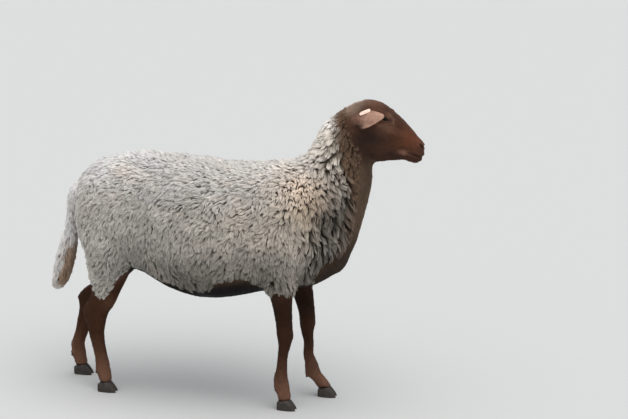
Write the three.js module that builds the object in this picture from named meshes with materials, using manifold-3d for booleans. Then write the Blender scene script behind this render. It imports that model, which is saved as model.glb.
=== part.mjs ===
// A life-size standing ewe of a russet-headed, hornless heath breed, as a still museum figure.
// +X runs towards the head, +Y to the animal's left and +Z up, in millimetres. The origin is on the
// floor under the middle of the figure. Every outline includes the depth of the fleece or hair.
import * as THREE from "three";
import { mergeVertices } from "three/addons/utils/BufferGeometryUtils.js";
import Module from "manifold-3d";

const wasm = await Module();
wasm.setup();

// ---- driving dimensions ------------------------------------------------------------------------
const GAP = 0.35; // clearance left at every thin cut and between touching pieces
const HUGE = 4000; // side of the boxes that stand for half-spaces

const FORE_STANCE = 80; // distance of each front foot from the middle plane
const HIND_STANCE = 72; // the same for the hind feet

const EYE = { x: 494, z: 845, out: 44, radius: 14.5 };
const EAR = { length: 108, width: 29, thick: 4.2 };
const TAG = { length: 34, width: 14, thick: 2.6, pin: 2.2 };
const CLAW = { length: 46, width: 19.5, height: 33, part: 11.5 };
const CORONET = { z: 30, slope: 0.24 }; // where hair meets horn, and how it falls to the heel

// ---- colours -----------------------------------------------------------------------------------
const finish = (color, roughness) =>
  new THREE.MeshStandardMaterial({ color, roughness, metalness: 0 });
const FLEECE = finish("#b5a797", 0.95);
const HAIR = finish("#5a3022", 0.7);
const HORN = finish("#4a3a2c", 0.5);
const EYEBALL = finish("#241610", 0.1);
const PLASTIC = finish("#f0bd9c", 0.45);

// ---- lofts through sections of the side view ---------------------------------------------------
// A station is [high x, high z, low x, low z, half width, side, level]. It is one section: it spans
// the line from its low point to its high point in the side view, is widest at that level (0 low to
// 1 high), and its middle lies at that distance (side) from the middle plane.

// Catmull-Rom interpolation of every number in the rows, at t from 0 to the last row's index.
function between(rows, t) {
  const i = Math.min(Math.floor(t), rows.length - 2);
  const f = t - i;
  const row = (k) => rows[Math.max(0, Math.min(rows.length - 1, k))];
  return rows[0].map((_, j) => {
    const [a, b, c, d] = [i - 1, i, i + 1, i + 2].map((k) => row(k)[j]);
    return b + 0.5 * f * (c - a + f * (2 * a - 5 * b + 4 * c - d + f * (3 * (b - c) + d - a)));
  });
}

// A superellipse: sharpness 2 is an ellipse, and more is boxier.
const bulge = (value, sharpness) => Math.sign(value) * Math.abs(value) ** (2 / sharpness);

// One ring of points for a station, shrunk by scale and moved by push along the loft.
function ring(station, { sides, sharpness, grow }, scale = 1, push = 0) {
  const [hx, hz, lx, lz, half, side, level] = station;
  const low = new THREE.Vector3(lx, side, lz);
  const tall = new THREE.Vector3(hx - lx, 0, hz - lz);
  const height = tall.length();
  const up = tall.clone().normalize();
  const along = new THREE.Vector3(up.z, 0, -up.x);
  const centre = low.addScaledVector(up, height * level).addScaledVector(along, push);
  return Array.from({ length: sides }, (_, k) => {
    const angle = (2 * Math.PI * (k + 0.5)) / sides;
    const reach = (Math.sin(angle) > 0 ? 1 - level : level) * height + grow;
    return centre
      .clone()
      .addScaledVector(up, scale * reach * bulge(Math.sin(angle), sharpness))
      .add(new THREE.Vector3(0, scale * (half + grow) * bulge(Math.cos(angle), sharpness), 0));
  });
}

// Joins rings of equal length into a closed skin, fanned to a point at each end.
function skinOf(rings) {
  const points = rings.flat();
  const sides = rings[0].length;
  const faces = [];
  for (let r = 0; r + 1 < rings.length; r += 1) {
    for (let k = 0; k < sides; k += 1) {
      const a = r * sides + k;
      const b = r * sides + ((k + 1) % sides);
      faces.push([a, b, b + sides], [a, b + sides, a + sides]);
    }
  }
  const fan = (first, turn) => {
    const middle = new THREE.Vector3();
    for (let k = 0; k < sides; k += 1) middle.addScaledVector(points[first + k], 1 / sides);
    const tip = points.push(middle) - 1;
    for (let k = 0; k < sides; k += 1) {
      const pair = [first + k, first + ((k + 1) % sides)];
      faces.push(turn ? [tip, pair[1], pair[0]] : [tip, pair[0], pair[1]]);
    }
  };
  fan(0, true);
  fan((rings.length - 1) * sides, false);
  return solidFrom(points, faces);
}

// A closed mesh as a solid, turned to face outwards.
function solidFrom(points, faces) {
  const volume = faces.reduce(
    (sum, [a, b, c]) => sum + points[a].dot(points[b].clone().cross(points[c])),
    0,
  );
  const outward = volume > 0 ? faces : faces.map(([a, b, c]) => [a, c, b]);
  return new wasm.Manifold(
    new wasm.Mesh({
      numProp: 3,
      vertProperties: new Float32Array(points.flatMap((p) => p.toArray())),
      triVerts: new Uint32Array(outward.flat()),
    }),
  );
}

// A loft through the stations, with rounded ends of the given lengths.
function loft(stations, options) {
  const shape = { sides: 20, steps: 2, sharpness: 2.2, caps: [20, 20], capRings: 3, grow: 0, ...options };
  const last = stations.length - 1;
  const rings = [];
  const cap = (station, length, order) => {
    for (const k of order) {
      const angle = (Math.PI / 2) * (k / (shape.capRings + 0.25));
      rings.push(ring(station, shape, Math.cos(angle), length * Math.sin(angle)));
    }
  };
  const counted = Array.from({ length: shape.capRings }, (_, k) => k + 1);
  const heading = Math.sign(shape.heading ?? 1);
  cap(stations[0], -heading * (shape.caps[0] + shape.grow), [...counted].reverse());
  for (let k = 0; k <= last * shape.steps; k += 1) {
    rings.push(ring(between(stations, k / shape.steps), shape));
  }
  cap(stations[last], heading * (shape.caps[1] + shape.grow), counted);
  return skinOf(rings);
}

// ---- solids from three.js shapes ---------------------------------------------------------------
function solidOf(geometry, place = new THREE.Matrix4()) {
  const bare = geometry.clone().applyMatrix4(place);
  bare.deleteAttribute("normal");
  bare.deleteAttribute("uv");
  const merged = mergeVertices(bare, 1e-3);
  return new wasm.Manifold(
    new wasm.Mesh({
      numProp: 3,
      vertProperties: merged.attributes.position.array,
      triVerts: new Uint32Array(merged.index.array),
    }),
  );
}

const at = (x, y, z) => new THREE.Matrix4().makeTranslation(x, y, z);

function ellipsoid(x, y, z, rx, ry, rz, detail = 12) {
  const ball = new THREE.SphereGeometry(1, detail, Math.round(detail * 0.6));
  return solidOf(ball, at(x, y, z).multiply(new THREE.Matrix4().makeScale(rx, ry, rz)));
}

// The half-space on the side of a plane that its normal points to.
function beyond(point, normal) {
  const turn = new THREE.Matrix4().makeRotationFromQuaternion(
    new THREE.Quaternion().setFromUnitVectors(
      new THREE.Vector3(0, 0, 1),
      new THREE.Vector3(...normal).normalize(),
    ),
  );
  const box = new THREE.BoxGeometry(HUGE, HUGE, HUGE);
  return solidOf(box, at(...point).multiply(turn).multiply(at(0, 0, HUGE / 2)));
}

// Cuts a solid in two at a plane, leaving the gap: [the part beyond it, the part before it].
function divide(solid, point, normal) {
  const unit = new THREE.Vector3(...normal).normalize();
  const shifted = (by) => new THREE.Vector3(...point).addScaledVector(unit, by).toArray();
  return [
    biggest(solid.intersect(beyond(shifted(GAP / 2), normal))),
    biggest(solid.subtract(beyond(shifted(-GAP / 2), normal))),
  ];
}

// The largest body of a solid, so that a cut leaves no stray flake.
const biggest = (solid) =>
  solid.decompose().reduce((a, b) => (b.volume() > a.volume() ? b : a));

// ---- trunk, neck and head ----------------------------------------------------------------------
const TRUNK = [
  [-302, 674, -302, 378, 138, 0, 0.5], // croup
  [-236, 694, -236, 362, 158, 0, 0.5], // hips
  [-166, 699, -166, 352, 172, 0, 0.48], // flank
  [-92, 699, -92, 315, 187, 0, 0.46], // back of the paunch
  [0, 693, 0, 293, 193, 0, 0.46], // paunch
  [92, 690, 92, 302, 180, 0, 0.48], // girth
  [172, 699, 172, 324, 164, 0, 0.5], // elbows
  [250, 706, 250, 338, 150, 0, 0.5], // withers
  [322, 655, 322, 354, 130, 0, 0.5], // breast
  [372, 590, 372, 388, 98, 0, 0.5],
];
const TRUNK_SHAPE = { sides: 22, steps: 2, sharpness: 2.25, caps: [80, 46], capRings: 4 };

const NECK = [
  [180, 690, 366, 404, 132, 0, 0.5], // inside the shoulders
  [232, 708, 418, 453, 122, 0, 0.5], // base
  [272, 724, 438, 524, 104, 0, 0.5],
  [298, 769, 455, 600, 88, 0, 0.5], // middle
  [320, 817, 464, 662, 74, 0, 0.5],
  [356, 848, 461, 698, 63, 0, 0.5], // throat
  [398, 874, 470, 735, 55, 0, 0.5], // inside the head
];
const NECK_SHAPE = { sides: 20, steps: 2, sharpness: 2.1, caps: [10, 10] };

const HEAD = [
  [402, 876, 452, 740, 46, 0, 0.6], // nape
  [438, 892, 474, 717, 52, 0, 0.6], // poll
  [478, 884, 500, 721, 55, 0, 0.6], // behind the eyes
  [512, 862, 524, 723, 53, 0, 0.62], // eyes
  [540, 841, 545, 727, 42, 0, 0.5], // cheeks
  [567, 816, 563, 727, 34.5, 0, 0.42], // bridge of the nose
  [589, 793, 579, 721, 31, 0, 0.45], // nostrils
];
const HEAD_SHAPE = { sides: 18, steps: 2, sharpness: 2.25, caps: [20, 23], capRings: 3 };

// The brow over each eye and the jaw muscle below it stand out from the head.
function headSolid(grow = 0) {
  let head = loft(HEAD, { ...HEAD_SHAPE, grow });
  for (const side of [-1, 1]) {
    const brow = ellipsoid(488, side * 42, 848, 26 + grow, 17.5 + grow, 18 + grow, 10);
    const cheek = ellipsoid(488, side * 31, 762, 36 + grow, 22 + grow, 38 + grow, 10);
    head = head.add(brow).add(cheek);
  }
  return head;
}

// Opens a lens in the brow and seats the eyeball in it.
function openEyes(head) {
  let open = head;
  for (const side of [-1, 1]) {
    const seat = EYE.radius + GAP;
    const ball = ellipsoid(EYE.x, side * EYE.out, EYE.z, seat, seat, seat, 12);
    const slit = ellipsoid(EYE.x + 1, side * (EYE.out + 19), EYE.z, 13, 14, 7.5, 10);
    open = open.subtract(ball).subtract(slit);
  }
  return open;
}

// ---- legs --------------------------------------------------------------------------------------
// Leg stations from the body down, each section given front line first. A step holds how far each
// joint of that leg is set forwards.
function forelegStations(y, step) {
  return [
    [318, 520, 168, 520, 36, y * 1.3, 0.5],
    [305, 450, 160, 450, 41, y * 1.28, 0.5],
    [286 + 0.35 * step.forearm, 385, 172, 385, 42, y * 1.2, 0.5], // elbow
    [270 + 0.75 * step.forearm, 330, 205 + 0.5 * step.forearm, 330, 31, y * 1.08, 0.5],
    [271 + 0.93 * step.forearm, 285, 217 + 0.8 * step.forearm, 285, 26, y * 1.02, 0.5],
    [274 + step.forearm, 245, 225 + step.forearm, 245, 23.5, y, 0.5],
    [277 + step.knee, 212, 229 + step.knee, 212, 24, y, 0.5], // knee
    [271 + step.knee, 185, 235 + step.knee, 185, 20, y, 0.5],
    [264 + step.cannon, 155, 234 + step.cannon, 155, 15, y, 0.5], // cannon
    [264 + step.cannon, 122, 232 + step.cannon, 122, 15.5, y, 0.5],
    [267 + step.fetlock, 92, 226 + step.fetlock, 92, 20, y, 0.5], // fetlock
    [273 + step.fetlock, 70, 227 + step.fetlock, 64, 22, y, 0.5],
    [278 + step.pastern, 46, 240 + step.pastern, 36, 20.5, y, 0.5], // pastern
    [281 + step.hoof, 26, 245 + step.hoof, 14, 20, y, 0.5], // coronet
  ];
}

function hindlegStations(y, step) {
  return [
    [-190, 600, -335, 600, 42, y * 1.2, 0.5], // hip
    [-176, 520, -350, 520, 53, y * 1.22, 0.5],
    [-172, 445, -345, 440, 58, y * 1.22, 0.5], // stifle
    [-187, 388, -330, 385, 52, y * 1.14, 0.5],
    [-211 + 0.2 * step.shank, 335, -318 + 0.2 * step.shank, 330, 39, y * 1.06, 0.5],
    [-232 + 0.6 * step.shank, 290, -315 + 0.6 * step.shank, 285, 29, y, 0.5], // shank
    [-244 + step.shank, 258, -330 + step.shank, 257, 25, y, 0.5],
    [-261 + step.hock, 233, -340 + step.hock, 232, 24, y, 0.5], // hock
    [-269 + 0.7 * step.hock + 0.3 * step.cannon, 204, -329 + 0.7 * step.hock + 0.3 * step.cannon, 200, 22, y, 0.5],
    [-273 + step.cannon, 168, -320 + step.cannon, 168, 18, y, 0.5], // cannon
    [-267 + step.shin, 128, -308 + step.shin, 128, 16.5, y, 0.5],
    [-258 + step.fetlock, 92, -298 + step.fetlock, 92, 19.5, y, 0.5], // fetlock
    [-252 + step.fetlock, 68, -295 + step.fetlock, 62, 21.5, y, 0.5],
    [-248 + step.pastern, 45, -285 + step.pastern, 35, 20.5, y, 0.5], // pastern
    [-246 + step.hoof, 26, -281 + step.hoof, 14, 20, y, 0.5], // coronet
  ];
}

// The near legs stand as drawn; the far fore is set forwards and the far hind back.
const NO_STEP = { forearm: 0, knee: 0, shank: 0, hock: 0, cannon: 0, shin: 0, fetlock: 0, pastern: 0, hoof: 0 };
const LEFT_FORE = { ...NO_STEP, forearm: 37, knee: 37, cannon: 48, fetlock: 62, pastern: 81, hoof: 91 };
const LEFT_HIND = {
  ...NO_STEP, shank: -53, hock: -56, cannon: -76, shin: -94, fetlock: -115, pastern: -115, hoof: -113,
};

const LEG_SHAPE = { sides: 10, steps: 1, sharpness: 2.15, caps: [14, 4], capRings: 1 };

// A point of the sloping plane between pastern and claws, at x along the foot, and its normal.
const coronetAt = (x, lift = 0) => [x, 0, CORONET.z + lift];
const CORONET_UP = [-CORONET.slope, 0, 1];

// One claw of a cloven hoof, its toe towards +X and its sole on the floor.
function claw(x, y, splay) {
  const { length, width, height, part } = CLAW;
  const stations = [
    [-0.5, 0.72, 0.36],
    [-0.3, 0.95, 0.47],
    [-0.05, 1.12, 0.5],
    [0.18, 1, 0.49],
    [0.38, 0.6, 0.38],
    [0.5, 0.32, 0.22],
  ].map(([u, tall, wide]) => {
    const middle = y + splay * (part - 0.7 * Math.max(0, u));
    return [x + u * length - 8 * tall, tall * height, x + u * length, -12, wide * width, middle, 0.42];
  });
  const body = loft(stations, { sides: 8, steps: 1, sharpness: 2.8, caps: [3, 4], capRings: 1 });
  const grounded = body.intersect(beyond([0, 0, 0], [0, 0, 1]));
  return grounded.subtract(beyond(coronetAt(x, -GAP / 2), CORONET_UP));
}

// Cuts a whole leg into its named lengths at the given planes, from the top down.
function segments(whole, cuts) {
  const made = [];
  let rest = whole;
  for (const { point, normal } of cuts) {
    const [above, below] = divide(rest, point, normal);
    made.push(above);
    rest = below;
  }
  made.push(rest);
  return made;
}

// ---- ears --------------------------------------------------------------------------------------
// A cupped leaf: u runs from the root to the tip and v across it. The root is rolled into a funnel.
function earSurface(u, v, inset) {
  const { lerp, smoothstep } = THREE.MathUtils;
  const outline = Math.sin(Math.PI * Math.min(1, 0.17 + 0.81 * u) ** 0.92) ** 0.72;
  const half = EAR.width * lerp(1.18, outline * (1 - 0.12 * u), smoothstep(u, 0.12, 0.42));
  const roll = lerp(2.3, 0.55, smoothstep(u, 0, 0.55));
  const radius = half / Math.min(roll, Math.PI * 0.8);
  const reach = radius - inset * EAR.thick * (1 - 0.45 * u);
  const angle = v * roll * 0.98;
  const droop = 7 * Math.sin(Math.PI * u);
  const swell = 8.5 * Math.exp(-(((u - 0.13) / 0.13) ** 2)); // the round base of the ear
  return new THREE.Vector3(
    u * EAR.length,
    reach * Math.sin(angle),
    reach * Math.cos(angle) - radius + droop + swell,
  );
}

function earSolid() {
  const [rows, columns] = [9, 7];
  const points = [];
  const index = (layer, i, j) => (layer * rows + i) * columns + j;
  for (const inset of [0, 1]) {
    for (let i = 0; i < rows; i += 1) {
      for (let j = 0; j < columns; j += 1) {
        const u = i / (rows - 1);
        const v = (2 * j) / (columns - 1) - 1;
        points.push(earSurface(u, v, inset));
      }
    }
  }
  const faces = [];
  const quad = (a, b, c, d) => faces.push([a, b, c], [a, c, d]);
  for (let i = 0; i + 1 < rows; i += 1) {
    for (let j = 0; j + 1 < columns; j += 1) {
      quad(index(0, i, j), index(0, i + 1, j), index(0, i + 1, j + 1), index(0, i, j + 1));
      quad(index(1, i, j), index(1, i, j + 1), index(1, i + 1, j + 1), index(1, i + 1, j));
    }
    const edge = columns - 1;
    quad(index(0, i, 0), index(1, i, 0), index(1, i + 1, 0), index(0, i + 1, 0));
    quad(index(0, i, edge), index(0, i + 1, edge), index(1, i + 1, edge), index(1, i, edge));
  }
  for (let j = 0; j + 1 < columns; j += 1) {
    const tip = rows - 1;
    quad(index(0, 0, j), index(0, 0, j + 1), index(1, 0, j + 1), index(1, 0, j));
    quad(index(0, tip, j), index(1, tip, j), index(1, tip, j + 1), index(0, tip, j + 1));
  }
  return solidFrom(points, faces);
}

// Where an ear lies: its root at the side of the poll, its leaf held ahead over the temple.
function earPlace(side, ahead) {
  const root = new THREE.Vector3(404, side * 52, 832);
  const outer = new THREE.Vector3(-0.35, side * 0.87, 0.35);
  const along = new THREE.Vector3(...ahead).normalize();
  const across = new THREE.Vector3().crossVectors(outer, along).normalize();
  const face = new THREE.Vector3().crossVectors(along, across);
  return new THREE.Matrix4().makeBasis(along, across, face).setPosition(root);
}

// A rounded bar, its flat faces along Z: the plates of the ear tag.
function bar(length, width, thick, z) {
  const shape = new THREE.Shape();
  const reach = (length - width) / 2;
  shape.absarc(reach, 0, width / 2, -Math.PI / 2, Math.PI / 2, false);
  shape.absarc(-reach, 0, width / 2, Math.PI / 2, (3 * Math.PI) / 2, false);
  shape.closePath();
  const made = new THREE.ExtrudeGeometry(shape, { depth: thick, bevelEnabled: false, curveSegments: 5 });
  return solidOf(made, at(0, 0, z));
}

const post = (radius, low, high) =>
  solidOf(
    new THREE.CylinderGeometry(radius, radius, high - low, 8),
    at(0, 0, (low + high) / 2).multiply(new THREE.Matrix4().makeRotationX(Math.PI / 2)),
  );

// ---- assembly ----------------------------------------------------------------------------------
const figure = new THREE.Group();

function add(name, solid, material) {
  const { vertProperties, triVerts } = solid.getMesh();
  const geometry = new THREE.BufferGeometry();
  geometry.setAttribute("position", new THREE.BufferAttribute(new Float32Array(vertProperties), 3));
  geometry.setIndex(new THREE.BufferAttribute(new Uint32Array(triVerts), 1));
  geometry.computeVertexNormals();
  const mesh = new THREE.Mesh(geometry, material);
  mesh.name = name;
  figure.add(mesh);
}

const SIDES = [
  { name: "right", sign: -1, fore: NO_STEP, hind: NO_STEP, ear: [88, -38, 27] },
  { name: "left", sign: 1, fore: LEFT_FORE, hind: LEFT_HIND, ear: [66, 70, 2] },
];

function addBody() {
  const head = openEyes(headSolid());
  const body = loft(TRUNK, TRUNK_SHAPE).add(loft(NECK, NECK_SHAPE)).add(head);
  const [fromNeck, trunk] = divide(body, [320, 0, 578], [0.83, 0, 0.56]);
  const [skull, neck] = divide(fromNeck, [430, 0, 800], [0.92, 0, 0.39]);
  const [upperHead, lowerJaw] = divide(skull, [606, 0, 757], [-0.06, 0, 1]);
  const [front, rump] = divide(trunk, [-172, 0, 0], [1, 0, 0.06]);
  const [thorax, abdomen] = divide(front, [112, 0, 500], [1, 0, -0.12]);
  add("head", upperHead, HAIR);
  add("lower_jaw", lowerJaw, HAIR);
  add("neck", neck, FLEECE);
  add("thorax", thorax, FLEECE);
  add("abdomen", abdomen, FLEECE);
  add("rump", rump, FLEECE);
}

const TAIL = [
  [-367, 618, -322, 584, 24, 0, 0.5], // root
  [-396, 591, -350, 560, 27, 0, 0.5],
  [-411, 553, -372, 535, 27, 0, 0.5],
  [-413, 520, -387, 508, 25, 0, 0.5],
  [-415, 478, -386, 464, 25, 0, 0.5],
  [-429, 424, -379, 405, 28, 0, 0.5],
  [-444, 368, -387, 348, 30, 0, 0.5], // fullest wool
  [-451, 315, -402, 300, 26, 0, 0.5],
  [-454, 284, -421, 274, 17, 0, 0.5],
];

function addTail(trunkGrown) {
  const tail = loft(TAIL, { sides: 10, steps: 1, caps: [8, 9], capRings: 2, heading: -1 });
  add("tail", biggest(tail.subtract(trunkGrown)), FLEECE);
}

function addForeleg({ name, sign, fore }, trunkGrown) {
  const y = sign * FORE_STANCE;
  const whole = loft(forelegStations(y, fore), LEG_SHAPE);
  const hoofX = 269 + fore.hoof;
  const free = biggest(whole.subtract(trunkGrown).intersect(beyond(coronetAt(hoofX, GAP / 2), CORONET_UP)));
  const [arm, forearm, cannon, pastern] = segments(free, [
    { point: [240, 0, 322], normal: [0.1, 0, 1] },
    { point: [250, 0, 200], normal: [0, 0, 1] },
    { point: [245, 0, 98], normal: [0, 0, 1] },
  ]);
  add(`${name}_upper_arm`, arm, FLEECE);
  add(`${name}_forearm`, forearm, HAIR);
  add(`${name}_fore_cannon`, cannon, HAIR);
  addFoot(`${name}_fore`, pastern, hoofX, 232 + fore.fetlock, y);
}

function addHindleg({ name, sign, hind }, trunkGrown) {
  const y = sign * HIND_STANCE;
  const whole = loft(hindlegStations(y, hind), LEG_SHAPE);
  const hoofX = -257 + hind.hoof;
  const free = biggest(whole.subtract(trunkGrown).intersect(beyond(coronetAt(hoofX, GAP / 2), CORONET_UP)));
  const [thigh, shank, cannon, pastern] = segments(free, [
    { point: [-265, 0, 345], normal: [0.35, 0, 1] },
    { point: [-300, 0, 218], normal: [0, 0, 1] },
    { point: [-280, 0, 98], normal: [0, 0, 1] },
  ]);
  add(`${name}_thigh`, thigh, FLEECE);
  add(`${name}_shank`, shank, HAIR);
  add(`${name}_hind_cannon`, cannon, HAIR);
  addFoot(`${name}_hind`, pastern, hoofX, -294 + hind.fetlock, y);
}

// A pastern with its two dew claws behind, over the two claws of the hoof.
function addFoot(name, pastern, hoofX, backX, y) {
  const dew = (splay) => ellipsoid(backX + 1, y + splay * 11, 61, 7, 5, 9.5, 8);
  add(`${name}_pastern`, pastern.add(dew(-1)).add(dew(1)), HAIR);
  const [outer, inner] = [Math.sign(y), -Math.sign(y)].map((splay) => claw(hoofX, y, splay));
  add(`${name}_outer_claw`, outer, HORN);
  add(`${name}_inner_claw`, inner, HORN);
}

function addEyes() {
  for (const { name, sign } of SIDES) {
    const { x, z, out, radius } = EYE;
    add(`${name}_eye`, ellipsoid(x, sign * out, z, radius, radius, radius, 12), EYEBALL);
  }
}

// The right ear carries a blank two-part plastic tag, pinned through the leaf near its upper edge.
function addTag(ear, place) {
  const turn = new THREE.Matrix4().makeRotationX(-0.47).multiply(new THREE.Matrix4().makeRotationZ(0.27));
  const seat = place.clone().multiply(at(49, 18, 2.8)).multiply(turn);
  const seated = (solid) => solid.transform(seat.elements);
  const hole = post(TAG.pin + GAP, -12, 12);
  const front = bar(TAG.length, TAG.width, TAG.thick, 0.5).add(post(TAG.pin, -9, 1));
  const back = bar(TAG.width, TAG.width - 2, TAG.thick, -9.4).subtract(hole);
  add("ear_tag_front", seated(front), PLASTIC);
  add("ear_tag_back", seated(back), PLASTIC);
  return ear.subtract(seated(hole));
}

function addEars(headGrown, neckGrown) {
  for (const { name, sign, ear } of SIDES) {
    const place = earPlace(sign, ear);
    const leaf = earSolid().transform(place.elements).subtract(headGrown).subtract(neckGrown);
    const whole = name === "right" ? addTag(leaf, place) : leaf;
    add(`${name}_ear`, biggest(whole), HAIR);
  }
}

const trunkGrown = loft(TRUNK, { ...TRUNK_SHAPE, grow: GAP }).add(loft(NECK, { ...NECK_SHAPE, grow: GAP }));
addBody();
addTail(trunkGrown);
for (const side of SIDES) {
  addForeleg(side, trunkGrown);
  addHindleg(side, trunkGrown);
}
addEyes();
addEars(headSolid(GAP), loft(NECK, { ...NECK_SHAPE, grow: GAP }));

// The origin is put on the floor under the middle of the figure's box.
const box = new THREE.Box3().setFromObject(figure);
const middle = box.getCenter(new THREE.Vector3());
figure.position.set(-middle.x, -middle.y, -box.min.z);

export default figure;
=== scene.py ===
"""A life-size standing ewe of a russet-headed heath breed, as a still museum figure.

One skin stands for all the flesh of the frame. Over it lie a fleece of wool locks and a coat of
short hair, both solid mesh. The eyes, claws, dew claws, lashes and ear tag are pieces of their own.
+X runs towards the head, +Y to the animal's left and +Z up, in metres.
"""

import math
from itertools import product

import bpy
import numpy as np
from mathutils import Matrix, Vector
from mathutils.bvhtree import BVHTree
from mathutils.kdtree import KDTree


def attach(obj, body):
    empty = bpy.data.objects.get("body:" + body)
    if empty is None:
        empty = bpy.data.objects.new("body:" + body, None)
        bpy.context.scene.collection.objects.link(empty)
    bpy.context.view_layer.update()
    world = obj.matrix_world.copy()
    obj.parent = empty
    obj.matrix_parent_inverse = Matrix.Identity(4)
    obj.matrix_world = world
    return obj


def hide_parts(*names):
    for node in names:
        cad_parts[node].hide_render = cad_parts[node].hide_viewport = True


bl_info = {
    "name": "Standing Ewe",
    "version": (1, 0, 0),
    "blender": (4, 5, 0),
    "location": "3D View > Sidebar > Ewe",
    "description": "Builds the skin, fleece, hair, eyes, claws and ear tag of a life-size ewe",
    "category": "Object",
}

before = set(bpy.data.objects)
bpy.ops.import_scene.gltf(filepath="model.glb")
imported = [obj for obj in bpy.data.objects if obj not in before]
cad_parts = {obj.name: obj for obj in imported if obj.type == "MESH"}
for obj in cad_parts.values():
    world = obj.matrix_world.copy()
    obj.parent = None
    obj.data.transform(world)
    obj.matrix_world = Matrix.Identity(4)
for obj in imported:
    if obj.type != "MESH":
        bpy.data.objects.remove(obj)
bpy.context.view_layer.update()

# ---- places and sizes, in metres ---------------------------------------------------------------
SIDES = {"right": -1, "left": 1}
SEPARATE = ("claw", "eye", "ear", "front", "back")  # nodes that end in these words aren't trunk flesh
MM = 0.001
LEG_DATUM = 0.0764  # taken off a leg's own x to give the frame's
DEW_HEIGHT, DEW_SEAT = 0.058, 0.092  # of the dew claws, and of the pastern that they grow from
BETWEEN_LEGS = -0.08  # the x that parts what moves with the fore legs from what moves with the hind

EYE_CENTRE = (0.4176, 0.044, 0.845)  # of the left eye; the right one mirrors it
EYE_RADIUS = 0.0145
GAZE = (0.26, 0.955, 0.10)  # out of the left eye
SLIT_TILT = -0.30  # fall of the lids' slit towards the nose
SLIT = {"half": 0.0128, "top": 0.0074, "low": 0.0056}
IRIS_SIZE = (0.0135, 0.0125)  # half of its length and of its height, as for the pupil
PUPIL_SIZE = (0.0068, 0.0034)
# Ridge and folds of the lids: distance from their opening, width and height.
LID_RIM = (1.2 * MM, 1.2 * MM, 0.5 * MM)
UPPER_FOLD = (5.6 * MM, 1.3 * MM, -1.3 * MM)
LOWER_FOLD = (4.2 * MM, 1.2 * MM, -0.7 * MM)

EAR_ROOT = (0.3276, 0.052, 0.832)
EAR_HEADING = {"right": (88, -38, 27), "left": (66, 70, 2)}
EAR_LENGTH, EAR_HALF, EAR_WALL = 0.108, 0.0285, 0.0034
TAG_SEAT = (0.049, 0.018, 0.0028)  # in the right ear's own frame
TAG_TURN = (-0.47, 0.27)  # about the ear's length, then about the tag's pin
TAG_THICK = 0.0024

# The tail's middle line from its root down, as seen from the side: (x, z).
TAIL_LINE = (
    (-0.421, 0.601), (-0.449, 0.576), (-0.468, 0.544), (-0.476, 0.514), (-0.477, 0.471),
    (-0.480, 0.415), (-0.492, 0.358), (-0.503, 0.308), (-0.514, 0.279),
)
# The cleft where the tail leaves the buttock, darkened with painted shade, as seen from the side.
CLEFT_LINE = ((-0.457, 0.530), (-0.453, 0.503), (-0.452, 0.470), (-0.448, 0.435))
CLEFT_SEAT = 0.03  # how far to each side of the body's middle that line lies
CLEFT_SLANT = 0.29  # how fast it runs forwards from there outwards
CLEFT_WIDTH = (0.0030, 0.0050, 0.503, 0.013)  # plain, added at its widest, that height, its reach
CLEFT_SPAN = (0.008, 0.046, 0.056)  # to each side: where it starts, begins to fade and has gone

# How far the left legs stand ahead of the right ones at each height: (heights), (steps).
FORE_STEP = ((0.02, 0.04, 0.092, 0.155, 0.2, 0.245, 0.285, 0.33, 0.385, 0.45),
             (0.091, 0.081, 0.062, 0.048, 0.037, 0.037, 0.032, 0.023, 0.010, 0))
HIND_STEP = ((0.02, 0.092, 0.13, 0.168, 0.21, 0.258, 0.29, 0.335, 0.388),
             (-0.113, -0.115, -0.094, -0.076, -0.062, -0.053, -0.032, -0.0106, 0))
# Each leg's distance from the body's middle, its left one's step, and the x of its dew claws.
LEGS = {"fore": (0.080, FORE_STEP, 0.232), "hind": (0.072, HIND_STEP, -0.294)}

# The outline round the roots of the wool: down its front, along the belly and up behind.
WOOL_EDGE = (
    (0.290, 0.95), (0.300, 0.905), (0.306, 0.865), (0.314, 0.830), (0.334, 0.785), (0.354, 0.745),
    (0.364, 0.700), (0.354, 0.650), (0.344, 0.590), (0.344, 0.540), (0.322, 0.492), (0.282, 0.466),
    (0.258, 0.426), (0.246, 0.382), (0.212, 0.352), (0.172, 0.358), (0.135, 0.352), (0.098, 0.362),
    (0.090, 0.386), (0.060, 0.404), (0.010, 0.384), (-0.040, 0.350), (-0.085, 0.330),
    (-0.130, 0.334), (-0.190, 0.358), (-0.240, 0.392), (-0.266, 0.390), (-0.290, 0.360),
    (-0.318, 0.322), (-0.346, 0.284), (-0.366, 0.300), (-0.404, 0.352), (-0.440, 0.420),
    (-0.60, 0.48), (-0.6, 0.95),
)
# Where white wool turns to the brown crimped wool behind the head: (heights), (x there).
COLLAR = ((0.60, 0.627, 0.674, 0.728, 0.795, 0.852, 0.90),
          (0.366, 0.353, 0.331, 0.311, 0.300, 0.281, 0.262))

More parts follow.
